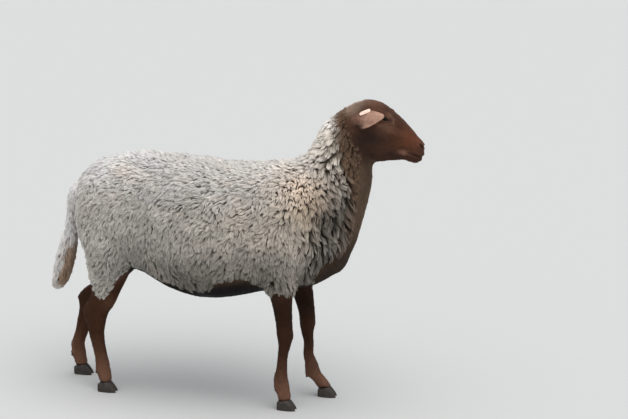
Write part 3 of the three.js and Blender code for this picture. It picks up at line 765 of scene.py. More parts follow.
def under_the_coat(skin, settings):
    """Draws the skin in by the coat's depth, and keeps on it where the coat's tips are."""
    mesh = skin.data
    edges = edges_of(mesh)
    points = relaxed(points_of(mesh), edges, 10)
    put_points(mesh, points)
    normals = unit(relaxed(vector_list(mesh.vertex_normals, "vector"), edges, 6, pushes=(0.5,)))
    wool = wool_share(points, normals)
    depth = relaxed(coat_depth(points, normals, settings), edges, 3, pushes=(0.5,))
    note_coat(mesh, points, wool, np.zeros(len(points)))
    put_points(mesh, relaxed(points - normals * depth[:, None], edges, 3))


def on_head(centres):
    return (centres[:, 0] > 0.30) & (centres[:, 2] > 0.69)


def refine_head_and_legs(skin):
    """Gives the legs twice the trunk's detail, the head four times and the face eight times."""
    centres = face_centres(skin.data)
    legs = (centres[:, 2] < 0.30) & (centres[:, 0] > -0.44)
    finer(skin, legs | on_head(centres))
    centres = face_centres(skin.data)
    finer(skin, on_head(centres) & (centres[:, 0] > 0.31))
    soften(skin, on_head, 4)
    centres = face_centres(skin.data)
    eye = np.linalg.norm(mirrored(centres) - np.array(EYE_CENTRE), axis=1) < 0.034
    muzzle = (centres[:, 0] > 0.478) & (centres[:, 2] > 0.70)
    finer(skin, eye | muzzle)
    soften(skin, on_head, 3)


def soften(skin, where, rounds):
    """Evens out the skin in one region."""
    mesh = skin.data
    points = points_of(mesh)
    weight = where(points).astype(float)
    put_points(mesh, relaxed(points, edges_of(mesh), rounds, weight))


def on_surface(tree, line, step=0.0015):
    """A line of places laid on a surface, closely enough to follow it."""
    line = np.array(line, float)
    places = [line[0]]
    for start, end in zip(line[:-1], line[1:]):
        count = max(int(np.linalg.norm(end - start) / step), 1)
        places += [start + (end - start) * k / count for k in range(1, count + 1)]
    return np.array([tree.find_nearest(place)[0] for place in places])


def distance_to(points, line, reach):
    """Distance of the points from a line, worked out only within this reach of it."""
    gap = np.full(len(points), 1.0)
    low, high = line.min(0) - reach, line.max(0) + reach
    near = np.nonzero(((points > low) & (points < high)).all(1))[0]
    if len(line) == 1:
        gap[near] = np.linalg.norm(points[near] - line[0], axis=1)
    elif len(near):
        gap[near] = from_line(points[near], line)[0]
    return gap


def raise_forms(skin, forms):
    """Raises or sinks the skin along lines laid on it, and notes the narrow deep ones as grooves."""
    mesh = skin.data
    points, normals = points_of(mesh), vector_list(mesh.vertex_normals, "vector")
    polygons = [tuple(polygon.vertices) for polygon in mesh.polygons]
    tree = BVHTree.FromPolygons(points.tolist(), polygons)
    groove = get_attribute(mesh, "groove")
    lift = np.zeros(len(points))
    for line, radius, height in forms:
        gap = distance_to(points, on_surface(tree, line), 3 * radius)
        lift += height * np.exp(-((gap / radius) ** 2))
        if height < -1.4 * MM and radius < 2.6 * MM:
            depth = min(1, -height / 0.0045)
            groove = np.maximum(groove, depth * np.exp(-((gap / (1.25 * radius)) ** 2)))
    set_attribute(mesh, "groove", "FLOAT", groove)
    put_points(mesh, points + normals * lift[:, None])


# Forms of the head: a line over the left half, its reach and how far it rises, in metres. Each has
# its like on the right.
HEAD_FORMS = (
    (((0.398, 0.050, 0.866), (0.420, 0.051, 0.868), (0.438, 0.043, 0.860)), 0.007, 0.0030),  # brow
    (((0.400, 0.056, 0.822), (0.430, 0.050, 0.812), (0.462, 0.036, 0.798)), 0.008, 0.0028),  # cheek ridge
    (((0.452, 0.040, 0.832), (0.470, 0.034, 0.815)), 0.009, -0.0030),
    (((0.447, 0.040, 0.775), (0.462, 0.036, 0.765)), 0.013, -0.0036),  # hollow of the cheek
    (((0.395, 0.050, 0.775), (0.405, 0.052, 0.755)), 0.020, 0.0020),
    (((0.372, 0.050, 0.850), (0.380, 0.052, 0.838)), 0.010, -0.0028),
    (((0.455, 0.018, 0.858), (0.480, 0.016, 0.838), (0.505, 0.014, 0.812)), 0.008, 0.0014),
    (((0.410, 0.012, 0.893), (0.440, 0.014, 0.876)), 0.014, 0.0012),
    (((0.345, 0.040, 0.790), (0.360, 0.044, 0.760), (0.385, 0.042, 0.730)),
     0.009, -0.0034),  # behind the jaw
    (((0.400, 0.012, 0.722), (0.470, 0.010, 0.723)), 0.009, -0.0026),
    (((0.395, 0.034, 0.728), (0.440, 0.030, 0.726), (0.475, 0.024, 0.726)), 0.008, 0.0018),  # jaw's edge
    (((0.334, 0.052, 0.836), (0.346, 0.056, 0.840)), 0.022, 0.0050),  # round base of the ear
)
MUZZLE_FORMS = (
    (((0.5300, 0.000, 0.7412), (0.5237, 0.007, 0.7419), (0.5165, 0.015, 0.7447),
      (0.5091, 0.021, 0.7478), (0.4958, 0.028, 0.7526), (0.4880, 0.0305, 0.7536)),
     0.0018, -0.0024),  # mouth
    (((0.5290, 0.000, 0.7412),), 0.0042, -0.0026),
    (((0.5280, 0.000, 0.7470), (0.5230, 0.010, 0.7480), (0.5150, 0.0185, 0.7505),
      (0.5020, 0.0265, 0.7560)), 0.0036, 0.0018),  # upper lip
    (((0.5190, 0.000, 0.7345), (0.5130, 0.012, 0.7385), (0.5030, 0.021, 0.7430),
      (0.4900, 0.028, 0.7480)), 0.0040, 0.0016),  # lower lip
    (((0.4830, 0.031, 0.7545),), 0.0026, -0.0016),
    (((0.4760, 0.032, 0.7520),), 0.0060, 0.0016),
    (((0.5325, 0.000, 0.7700), (0.5300, 0.000, 0.7480)), 0.0015, -0.0018),  # cleft of the upper lip
    (((0.5320, 0.0060, 0.7685), (0.5275, 0.0120, 0.7688), (0.5225, 0.0160, 0.7705),
      (0.5190, 0.0185, 0.7765)), 0.0023, -0.0066),  # nostril
    (((0.5310, 0.0075, 0.7745), (0.5255, 0.0160, 0.7775), (0.5185, 0.0205, 0.7835)), 0.0030, 0.0022),
    (((0.5285, 0.0130, 0.7635), (0.5215, 0.0195, 0.7675), (0.5150, 0.0225, 0.7750)), 0.0032, 0.0016),
    (((0.5110, 0.0235, 0.7830), (0.5080, 0.0245, 0.7740)), 0.0032, -0.0014),
    (((0.4900, 0.0000, 0.7225), (0.5080, 0.000, 0.7260)), 0.010, 0.0010),
)
EYE_FORMS = (
    (((0.4365, 0.0495, 0.8410), (0.4385, 0.0470, 0.8380), (0.4400, 0.0450, 0.8345)),
     0.0022, -0.0036),  # tear pit
    (((0.4326, 0.0490, 0.8600), (0.4400, 0.0470, 0.8500), (0.4455, 0.0450, 0.8400),
      (0.4470, 0.0430, 0.8330)), 0.0032, 0.0024),
    (((0.4080, 0.0600, 0.8300), (0.4230, 0.0580, 0.8270), (0.4370, 0.0520, 0.8300)), 0.0020, -0.0012),
    (((0.4050, 0.0580, 0.8600), (0.4200, 0.0570, 0.8620), (0.4330, 0.0510, 0.8560)), 0.0018, -0.0010),
)


# Forms of the legs: the leg, a line of (x, outwards from the leg's middle, z), its reach and rise.
# Each of the first has its like on the leg's inner face.
LEG_FORMS_IN_PAIRS = (
    ("fore", ((0.246, 0.016, 0.180), (0.243, 0.016, 0.150), (0.243, 0.016, 0.115)), 0.005, -0.0026),
    ("hind", ((-0.304, 0.016, 0.190), (-0.300, 0.016, 0.150), (-0.289, 0.016, 0.115)), 0.005, -0.0026),
    ("hind", ((-0.318, 0.016, 0.275), (-0.303, 0.016, 0.300)), 0.008, -0.0030),  # over the hock
    ("fore", ((0.255, 0.020, 0.212),), 0.012, 0.0012),  # knee
    ("hind", ((-0.300, 0.020, 0.225),), 0.012, 0.0012),  # hock
)
LEG_FORMS = (
    ("fore", ((0.277, 0, 0.214),), 0.018, 0.0008),  # front of the knee
    ("fore", ((0.276, 0, 0.055), (0.281, 0, 0.030)), 0.0035, -0.0045),  # cleft of the foot
    ("hind", ((-0.247, 0, 0.055), (-0.243, 0, 0.030)), 0.0035, -0.0045),
    ("fore", ((0.232, 0, 0.086),), 0.010, 0.0016),  # over the dew claws
    ("hind", ((-0.297, 0, 0.086),), 0.010, 0.0016),
    ("hind", ((-0.340, 0, 0.240),), 0.009, 0.0030),  # point of the hock
)


def both_sides(forms):
    """The forms of the left half with their likes on the right. Those on the middle line stay single."""
    made = []
    for line, radius, height in forms:
        made.append((line, radius, height))
        if any(y for _, y, _ in line):
            made.append((tuple((x, -y, z) for x, y, z in line), radius, height))
    return made


def on_leg(leg, side, x, out, z):
    """The place of a leg's point, given outwards from the leg's own middle."""
    beside, steps, _ = LEGS[leg]
    step = float(np.interp(z, *steps)) if side > 0 else 0.0
    return (x - LEG_DATUM + step, side * (beside + out), z)


def shape_legs(skin):
    """Raises the joints and sinks the hollows by the tendons and the clefts of the feet."""
    forms = []
    for side in SIDES.values():
        for facing, table in ((-1, LEG_FORMS_IN_PAIRS), (1, LEG_FORMS_IN_PAIRS), (1, LEG_FORMS)):
            for leg, line, radius, height in table:
                places = tuple(on_leg(leg, side, x, out * facing, z) for x, out, z in line)
                forms.append((places, radius, height))
    raise_forms(skin, forms)


def eye_frame(side):
    """An eye's centre, its gaze, the way along its lids towards the nose, and the way up."""
    centre = np.array(EYE_CENTRE) * (1, side, 1)
    gaze = unit(np.array(GAZE) * (1, side, 1))
    slit = np.array([1.0, 0, SLIT_TILT])
    slit = unit(slit - dot(slit, gaze) * gaze)
    up = np.cross(slit, gaze) * side
    up = up if up[2] > 0 else -up
    return centre, gaze, slit, up


def around(centre, points):
    """The heading of each point from a centre, and how far away it is."""
    away = points - centre
    radius = np.linalg.norm(away, axis=1)
    return away / np.maximum(radius, 1e-9)[:, None], radius


def ridge(gap, place, width, height):
    """A rounded ridge, or a fold if its height is under zero, across a distance."""
    return height * np.exp(-(((gap - place) / width) ** 2))


def lids_open(share):
    """How far the lids part along their slit: 1 in its middle and 0 at its ends."""
    return (1 - share**2.1) ** 0.8


def open_lids(skin):
    """Opens an almond over each eye, with a rim, a fold on each side and the lids drawn round the ball."""
    mesh = skin.data
    points = points_of(mesh)
    for side in SIDES.values():
        centre, gaze, slit, up = eye_frame(side)
        heading, radius = around(centre, points)
        reach = EYE_RADIUS + 1.5 * MM
        u, v = dot(heading, slit) * reach, dot(heading, up) * reach
        near = (dot(heading, gaze) > 0.15) & (radius < 0.036)
        share = np.clip(np.abs(u) / SLIT["half"], 0, 1)
        tall = np.where(v > 0, SLIT["top"], SLIT["low"]) * lids_open(share)
        past = np.maximum(np.abs(u) - SLIT["half"], 0)
        gap = np.where(past > 0, np.hypot(past, v), (np.abs(v) - tall) * 0.9)
        rim = near & (np.abs(gap) < 0.5 * MM) & (past == 0)
        v = np.where(rim, np.sign(v) * tall, v)
        gap = np.where(rim, 0, gap)
        out = np.sqrt(np.maximum(reach**2 - u**2 - v**2, 1e-9))
        on_rim = (np.outer(u, slit) + np.outer(v, up) + np.outer(out, gaze)) / reach
        heading = np.where(rim[:, None], on_rim, heading)
        lid = reach + 0.12 * np.maximum(gap, 0)
        lid += ridge(gap, *LID_RIM)
        lid += np.where(v > 0, ridge(gap, *UPPER_FOLD), ridge(gap, *LOWER_FOLD))
        blend = smooth(2 * MM, 10 * MM, gap)
        lid = lid * (1 - blend) + radius * blend
        inner = EYE_RADIUS - 3 * MM
        edge = smooth(-1.6 * MM, 0, gap)
        lid = np.where(gap < 0, inner + (reach - inner) * edge, lid)
        target = centre + heading * lid[:, None]
        points = np.where(near[:, None], target, points)
    put_points(mesh, points)
    raise_forms(skin, both_sides(EYE_FORMS))


def ear_place(side):
    """The ear's own frame: along it, across it and out of its back."""
    sign = SIDES[side]
    outer = np.array([-0.35, sign * 0.87, 0.35])
    along = unit(np.array(EAR_HEADING[side], float))
    across = unit(np.cross(outer, along))
    face = np.cross(along, across)
    root = np.array(EAR_ROOT) * (1, sign, 1)
    place = Matrix((along, across, face)).transposed().to_4x4()
    place.translation = Vector(root)
    return place


def ear_point(u, v, depth):
    """A point of the ear: u from root to tip, v across it, depth under its back."""
    ahead = max(u, 0.0)
    open_out, unroll = float(smooth(0.12, 0.42, ahead)), float(smooth(0, 0.55, ahead))
    outline = max(math.sin(math.pi * min(1, 0.17 + 0.81 * ahead) ** 0.92), 0) ** 0.72
    half = EAR_HALF * (1.18 + (outline * (1 - 0.12 * ahead) - 1.18) * open_out)
    roll = 2.3 + (0.55 - 2.3) * unroll
    radius = half / min(roll, math.pi * 0.8)
    wall = EAR_WALL * (1 - 0.5 * ahead) * (1 - abs(v) ** 5) ** 0.6 * (1 - ahead**14)
    ridge = 0.6 * MM * math.cos(7 * v) * math.exp(-((ahead - 0.25) / 0.2) ** 2)
    curl = 1.2 * MM * abs(v) ** 6 * math.sin(math.pi * ahead)
    reach = radius - depth * wall + ridge + curl
    angle = v * roll * 0.98
    droop = 7 * MM * math.sin(math.pi * ahead) + 8.5 * MM * math.exp(-(((u - 0.13) / 0.13) ** 2))
    return (u * EAR_LENGTH, reach * math.sin(angle), reach * math.cos(angle) - radius + droop)


def ear_leaf(side):
    """One ear as a closed shell, its root reaching into the head."""
    rows, columns = 58, 33
    points, faces = [], []
    for depth in (0, 1):
        for i in range(rows):
            for j in range(columns):
                points.append(ear_point(-0.16 + 1.16 * i / (rows - 1), 2 * j / (columns - 1) - 1, depth))

    def at(layer, i, j):
        return (layer * rows + i) * columns + j

    for i in range(rows - 1):
        for j in range(columns - 1):
            faces.append((at(0, i, j), at(0, i + 1, j), at(0, i + 1, j + 1), at(0, i, j + 1)))
            faces.append((at(1, i, j), at(1, i, j + 1), at(1, i + 1, j + 1), at(1, i + 1, j)))
    for j in range(columns - 1):
        faces.append((at(0, 0, j), at(0, 0, j + 1), at(1, 0, j + 1), at(1, 0, j)))
    mesh = bpy.data.meshes.new("ear")
    mesh.from_pydata(points, [], faces)
    ear = new_object("ear_" + side, mesh)
    merge_doubles(ear, 2e-5)
    mesh.transform(ear_place(side))
    note_coat(mesh, points_of(mesh), np.zeros(len(mesh.vertices)), np.ones(len(mesh.vertices)))
    return ear


def join_ears(skin):
    """Grows the ears out of the head as part of the one skin."""
    for side in SIDES:
        ear = ear_leaf(side)
        apply_modifier(skin, "BOOLEAN", operation="UNION", solver="MANIFOLD", object=ear)
        bpy.data.objects.remove(ear)
    mesh = skin.data
    points, edges = points_of(mesh), edges_of(mesh)
    ear = get_attribute(mesh, "ear")
    outer = get_attribute(mesh, "outer", 3)
    lost = np.linalg.norm(outer, axis=1) < 0.01
    set_attribute(mesh, "outer", "FLOAT_VECTOR", np.where(lost[:, None], points, outer))
    changing = np.abs(ear[edges[:, 0]] - ear[edges[:, 1]]) > 0.5
    seam = np.zeros(len(points))
    seam[edges[changing].ravel()] = 1
    near = relaxed(seam, edges, 6, pushes=(0.5,))
    near = np.clip(near / max(near.max(), 1e-9) * 2.2, 0, 1)
    put_points(mesh, relaxed(points, edges, 14, near, pushes=(0.5, -0.3)))
    set_attribute(mesh, "ear", "FLOAT", relaxed(ear, edges, 5, pushes=(0.5,)))


def colour_skin(mesh, settings):
    """Gives the skin the coat's colour, with painted shade in grooves, in the cleft by the tail and under
    wool that lets it show.
    """
    normals = vector_list(mesh.vertex_normals, "vector")
    outer, wool = get_attribute(mesh, "outer", 3), get_attribute(mesh, "wool")
    tone = coat_colour(outer, normals, wool, get_attribute(mesh, "ear"), settings)
    parted = nearby(side_view(outer), LOCKS, lambda row: row[4:], LOCKS_BLEND)[:, 0]
    # Painted shade: under the wool, lighter where the locks part least, in the cleft by the tail and in the
    # grooves.
    shaded = (0.84 - 0.44 * smooth(0.40, 0.20, parted)) * wool
    shaded += (CLEFT_SKIN_SHADE - shaded) * cleft_share(points_of(mesh))
    tone *= ((1 - shaded) * (1 - 0.7 * get_attribute(mesh, "groove")))[:, None]
    tone *= 1 - wool[:, None] * np.array(SKIN_TINT)
    set_attribute(mesh, "coat_colour", "FLOAT_COLOR", with_alpha(tone))


def unwrap(skin):
    """Lays the skin out flat, for the places of the coat's colours."""
    only(skin)
    bpy.ops.object.mode_set(mode="EDIT")
    bpy.ops.mesh.select_all(action="SELECT")
    bpy.ops.uv.smart_project(angle_limit=math.radians(72), island_margin=0.002)
    bpy.ops.object.mode_set(mode="OBJECT")
    skin.data.uv_layers[0].name = "OFBake"


# ---- materials ---------------------------------------------------------------------------------
COAT_SHINE = 0.09
PUPIL_BLACK = (0.004, 0.004, 0.005)
EYE_RIM = (0.16, 0.12, 0.1)


def new_material(name):
    material = bpy.data.materials.new(name)
    material.use_nodes = True
    tree = material.node_tree
    return material, tree, tree.nodes["Principled BSDF"]


def feed(tree, node, inputs):
    """Sets each input to a value, or links it to the output that feeds it."""
    for name, value in inputs.items():
        if isinstance(value, bpy.types.NodeSocket):
            tree.links.new(value, node.inputs[name])
        else:
            node.inputs[name].default_value = value


def new_node(tree, kind, inputs, **settings):
    node = tree.nodes.new("ShaderNode" + kind)
    for name, value in settings.items():
        setattr(node, name, value)
    feed(tree, node, inputs)
    return node


def object_place(tree):
    return new_node(tree, "TexCoord", {}).outputs["Object"]


def noise(tree, scale, detail=3.0, roughness=0.55):
    inputs = {"Scale": scale, "Detail": detail, "Roughness": roughness, "Vector": object_place(tree)}
    return new_node(tree, "TexNoise", inputs).outputs["Fac"]


def spread(tree, value, low, high):
    """The middle part of a factor, moved to the range from low to high."""
    inputs = {"From Min": 0.3, "From Max": 0.7, "To Min": low, "To Max": high, "Value": value}
    return new_node(tree, "MapRange", inputs).outputs["Result"]


def tinted(tree, base, factor):
    """A colour made lighter or darker by a factor."""
    return new_node(tree, "VectorMath", {0: base, "Scale": factor}, operation="SCALE").outputs["Vector"]


def ramp(tree, value, stops):
    """A colour that runs through stops of (position, colour) as a factor rises."""
    node = new_node(tree, "ValToRGB", {"Fac": value})
    line = node.color_ramp
    while len(line.elements) < len(stops):
        line.elements.new(0.5)
    for element, (position, tone) in zip(line.elements, stops):
        element.position = position
        element.color = (*tone, 1)
    return node.outputs["Color"]


def bump(tree, height, distance):
    return new_node(tree, "Bump", {"Distance": distance, "Height": height}).outputs["Normal"]


def painted(tree):
    """The coat's colour, with its painted shade and highlights, which is kept on each point of a mesh."""
    return new_node(tree, "Attribute", {}, attribute_name="coat_colour").outputs["Color"]


def coat_material(name, scale, low, high, roughness, sheen):
    """Dull fibres, lighter and darker from place to place."""
    material, tree, surface = new_material(name)
    factor = spread(tree, noise(tree, scale), low, high)
    feed(tree, surface, {
        "Base Color": tinted(tree, painted(tree), factor),
        "Roughness": roughness,
        "Specular IOR Level": COAT_SHINE,
        "Sheen Weight": sheen,
        "Sheen Roughness": 0.6,
    })
    return material


def skin_material():
    """Short hair lying flat on the skin, in fine strokes and broad cloudy places."""
    material, tree, surface = new_material("ewe_skin")
    fine, broad = noise(tree, 900, 4.0, 0.6), noise(tree, 160)
    factors = {0: spread(tree, fine, 0.72, 1.22), 1: spread(tree, broad, 0.85, 1.12)}
    factor = new_node(tree, "Math", factors, operation="MULTIPLY").outputs[0]
    feed(tree, surface, {
        "Base Color": tinted(tree, painted(tree), factor),
        "Roughness": 0.62,
        "Specular IOR Level": COAT_SHINE,
        "Sheen Weight": 0.02,
        "Sheen Roughness": 0.5,
        "Normal": bump(tree, fine, 0.9 * MM),
    })
    return material


def eye_material(side, settings):
    """A dark wet eye with a level slot for its pupil."""
    material, tree, surface = new_material("ewe_eye_" + side)
    centre, _, slit, up = eye_frame(SIDES[side])
    away = {0: object_place(tree), 1: centre}
    away = new_node(tree, "VectorMath", away, operation="SUBTRACT").outputs["Vector"]

    def along(direction, scale):
        inputs = {0: away, 1: direction / scale}
        return new_node(tree, "VectorMath", inputs, operation="DOT_PRODUCT").outputs["Value"]

    def radius(wide, tall):
        pair = new_node(tree, "CombineXYZ", {0: along(slit, wide), 1: along(up, tall)}).outputs[0]
        return new_node(tree, "VectorMath", {0: pair}, operation="LENGTH").outputs["Value"]

    iris = np.array(settings.iris)
    rings = ((0.0, iris * 0.55), (0.55, iris), (0.78, iris * 0.8), (0.9, iris * 0.15), (1.0, EYE_RIM))
    slot = ((0.86, PUPIL_BLACK), (1.0, (1, 1, 1)))
    shade = new_node(tree, "Mix", {}, data_type="RGBA", blend_type="MULTIPLY")
    feed(tree, shade, {
        "Factor": 1.0,
        "A": ramp(tree, radius(*IRIS_SIZE), rings),
        "B": ramp(tree, radius(*PUPIL_SIZE), slot),
    })
    streaks = spread(tree, noise(tree, 900), 0.75, 1.2)
    feed(tree, surface, {
        "Base Color": tinted(tree, shade.outputs["Result"], streaks),
        "Roughness": 0.16,
        "Specular IOR Level": 0.12,
        "Coat Weight": 0.10,
        "Coat Roughness": 0.06,
    })
    return material


def horn_material(settings):
    """Dull dark horn with growth rings and dry mud on it."""
    material, tree, surface = new_material("ewe_horn")
    inputs = {
        "Scale": 55, "Distortion": 2.2, "Detail": 2.0, "Detail Scale": 1.2, "Vector": object_place(tree),
    }
    rings = new_node(tree, "TexWave", inputs, wave_type="BANDS", bands_direction="Z").outputs["Fac"]
    dirt = noise(tree, 90, 4.0)
    horn = np.array(settings.horn)
    tone = ramp(tree, dirt, ((0.35, horn * 0.35), (0.7, horn)))
    feed(tree, surface, {
        "Base Color": tinted(tree, tone, spread(tree, rings, 0.9, 1.05)),
        "Roughness": spread(tree, dirt, 0.45, 0.75),
        "Normal": bump(tree, rings, 0.3 * MM),
    })
    return material


def tag_material(settings):
    """Salmon plastic, weathered and a little dirty."""
    material, tree, surface = new_material("ewe_tag")
    dirt = noise(tree, 220, 4.0)
    plastic = np.array(settings.tag)
    feed(tree, surface, {
        "Base Color": ramp(tree, dirt, ((0.28, plastic * (0.55, 0.5, 0.45)), (0.5, plastic))),
        "Roughness": spread(tree, dirt, 0.34, 0.5),
        "Normal": bump(tree, dirt, 0.1 * MM),
    })
    return material


# ---- the coat ----------------------------------------------------------------------------------
def pieces_for(strands, rings):
    """How many meshes these strands are dealt out to, to keep each one's count of triangles low."""
    return int(math.ceil(strands * (6 * rings - 2) / MOST_IN_A_PIECE))


class Ground:
    """The skin as arrays: what the coat grows on."""

    def __init__(self, skin):
        mesh = skin.data
        mesh.calc_loop_triangles()
        count = len(mesh.loop_triangles)
        self.corners = np.empty(count * 3, np.int32)
        mesh.loop_triangles.foreach_get("vertices", self.corners)
        self.corners = self.corners.reshape(-1, 3)
        loops = np.empty(count * 3, np.int32)
        mesh.loop_triangles.foreach_get("loops", loops)
        layout = vector_list(mesh.uv_layers["OFBake"].data, "uv", 2)
        self.layout = layout[loops.reshape(-1, 3)]
        self.points = points_of(mesh)
        self.normals = vector_list(mesh.vertex_normals, "vector")
        self.outer = get_attribute(mesh, "outer", 3)
        self.wool = get_attribute(mesh, "wool")
        self.ear = get_attribute(mesh, "ear")
        self.groove = get_attribute(mesh, "groove")
        a, b, c = (self.points[self.corners[:, k]] for k in range(3))
        self.area = np.linalg.norm(np.cross(b - a, c - a), axis=1) / 2
        self.tree = BVHTree.FromObject(skin, bpy.context.evaluated_depsgraph_get())

    def middle(self, values):
        """Values of the vertices, as the mean over each triangle."""
        return values[self.corners].mean(1)

    def blended(self, values, triangles, shares):
        """Values of the vertices, at places given by triangle and the share of each corner."""
        found = values[self.corners[triangles]]
        return np.einsum("nk,nk...->n...", shares, found)

    def nearest(self, places):
        """The nearest skin to each place, and the way out of the skin there."""
        spots, ways = np.empty_like(places), np.empty_like(places)
        for k, place in enumerate(places):
            spot, way, _, _ = self.tree.find_nearest(place)
            spots[k], ways[k] = spot, way
        return spots, ways


def random_places(ground, weight, count, rng):
    """Places over the skin by chance, as many on each triangle as its weight asks."""
    sums = np.cumsum(weight * ground.area)
    triangles = np.searchsorted(sums, rng.random(count) * sums[-1])
    first = np.sqrt(rng.random(count))
    second = rng.random(count)
    shares = np.stack([1 - first, first * (1 - second), first * second], axis=1)
    return triangles, shares


def spaced(places, gaps):
    """Keeps places in their order, leaving out each that is nearer than its gap to a kept one."""
    cell = float(gaps.min())
    cells = np.floor(places / cell).astype(int)
    taken, kept = {}, []
    for k, (place, gap, home) in enumerate(zip(places.tolist(), gaps.tolist(), cells.tolist())):
        reach = int(math.ceil(gap / cell))
        spans = [range(middle - reach, middle + reach + 1) for middle in home]
        neighbours = (other for near in product(*spans) for other in taken.get(near, ()))
        if not any(math.dist(place, other) < gap for other in neighbours):
            taken.setdefault(tuple(home), []).append(place)
            kept.append(k)
    return np.array(kept)


def one_to_a_cell(places, size):
    """Keeps one place in each cube of this size, for an even scatter of many small things."""
    cells = np.floor(places / size).astype(np.int64) + 4096
    keys = (cells[:, 0] << 26) + (cells[:, 1] << 13) + cells[:, 2]
    _, first = np.unique(keys, return_index=True)
    return np.sort(first)


def root_layout(ground, triangles, shares):
    """Each root's place on the skin's flat layout, held inside its edges."""
    spots = np.einsum("nk,nkj->nj", shares, ground.layout[triangles])
    return np.clip(spots, BAKE_PATCH, 1 - BAKE_PATCH)


def strand_mesh(name, rings, ups, widths, tips, colours, layout, flat, soft, own):
    """Closed tapering strands as one mesh.

    rings holds each strand's middle line (strand, ring, xyz), ups a way across each ring,
    widths its width there, tips its end, colours one per ring and tip, layout its bake patch.
    flat is the thickness over the width. soft gives the way the coat as a whole faces at each ring
    and tip, and own how far the shading keeps to the strand's own faces instead.
    """
    strands, count = rings.shape[:2]
    ahead = unit(np.concatenate([rings[:, 1:], tips[:, None]], axis=1) - rings)
    across = unit(np.cross(ahead, ups))
    over = np.cross(across, ahead)
    corners, ways = [], []
    for k in range(3):
        angle = math.tau * k / 3 + math.pi / 2
        part = across * math.cos(angle) + over * (flat * math.sin(angle) * 1.2)
        corners.append(rings + part * (widths[:, :, None] / SECTION_WIDTH))
        ways.append(unit(part))
    sides = np.stack(corners, axis=2).reshape(strands, count * 3, 3)
    points = np.concatenate([sides, tips[:, None]], axis=1)
    faces = [(0, 1, 2)]
    for r in range(count - 1):
        for k in range(3):
            a, b = r * 3 + k, r * 3 + (k + 1) % 3
            faces += [(b, a, a + 3), (b, a + 3, b + 3)]
    last = (count - 1) * 3
    faces += [(last + (k + 1) % 3, last + k, count * 3) for k in range(3)]
    per = count * 3 + 1
    every = (np.array(faces)[None] + (np.arange(strands) * per)[:, None, None]).reshape(-1, 3)
    tone = np.concatenate([np.repeat(colours[:, :count], 3, axis=1), colours[:, count:]], axis=1)
    patch = np.empty((per, 2))
    patch[:-1, 0] = np.tile(np.array([0.0, 0.5, 1.0]), count)
    patch[:-1, 1] = np.repeat(np.arange(count), 3) / count
    patch[-1] = (0.5, 1.0)
    flat_map = layout[:, None, :] + (patch[None] - 0.5) * BAKE_PATCH
    points, tone, flat_map = points.reshape(-1, 3), tone.reshape(-1, 3), flat_map.reshape(-1, 2)
    obj = triangle_mesh(name, points, every, tone, flat_map)
    outward = np.stack(ways, axis=2).reshape(strands, count * 3, 3)
    facing = np.repeat(soft[:, :count], 3, axis=1)
    own = np.broadcast_to(own, strands)[:, None, None]
    facing = np.concatenate([unit(own * outward + (1 - own) * facing), soft[:, count:]], axis=1)
    obj.data.normals_split_custom_set_from_vertices(facing.reshape(-1, 3).tolist())
    return obj


def triangle_mesh(name, points, faces, colours, layout):
    """A mesh of triangles with a colour and a place on the flat layout for each point."""
    mesh = bpy.data.meshes.new(name)
    mesh.vertices.add(len(points))
    mesh.vertices.foreach_set("co", points.astype(np.float32).ravel())
    mesh.loops.add(faces.size)
    mesh.loops.foreach_set("vertex_index", faces.astype(np.int32).ravel())
    mesh.polygons.add(len(faces))
    mesh.polygons.foreach_set("loop_start", np.arange(0, faces.size, 3, dtype=np.int32))
    mesh.update(calc_edges=True)
    mesh.polygons.foreach_set("use_smooth", np.ones(len(faces), bool))
    set_attribute(mesh, "coat_colour", "FLOAT_COLOR", with_alpha(colours))
    uv = mesh.uv_layers.new(name="OFBake")
    uv.data.foreach_set("uv", layout[faces.ravel()].astype(np.float32).ravel())
    return new_object(name, mesh)


def lean_at(share, rise, stand):
    """How steeply a lock rises at this share of its length. Locks that stand stay steep."""
    lying, upright = 2.05 - 2.1 * share, 1.30 - 0.15 * share - 0.9 * max(share - 0.7, 0)
    curve = lying * (1 - stand) + upright * stand
    return np.arcsin(np.clip(rise * curve, -0.3, 0.985))


def lock_paths(ground, roots, normals, long, depth, stand, loose, rng):
    """The middle line of each lock: its places, the ways out of the skin and ahead there."""
    spots, ups, ways = [roots], [normals], []
    swirl = 0.34 * drift(roots, 0.055, 51) + 0.58 * drift(roots, 0.022, 52)
    swirl = loose * (swirl + rng.normal(0, 0.12, len(roots)))
    bend = loose * (0.30 * drift(roots, 0.016, 53) + rng.normal(0, 0.16, len(roots)))
    bend = bend * (1 - 0.6 * stand)
    rise = np.clip(depth / long, 0.06, 0.96)
    lift = [np.full(len(roots), -0.003)]
    for k in range(RUNS):
        way = turned(lie_of_coat(spots[-1], ups[-1]), ups[-1], swirl + bend * (k - 1.5))
        ways.append(way)
        lean = lean_at((k + 0.5) / RUNS, rise, stand)
        ahead = spots[-1] + way * (np.cos(lean) * long / RUNS)[:, None]
        spot, up = ground.nearest(ahead)
        spots.append(spot)
        ups.append(unit(up + ups[-1]))
        lift.append(np.maximum(lift[-1], 0) + np.sin(lean) * long / RUNS)
    ways.append(way)
    middle = [spot + up * height[:, None] for spot, up, height in zip(spots, ups, lift)]
    return np.stack(middle, 1), np.stack(ups, 1), np.stack(ways, 1)


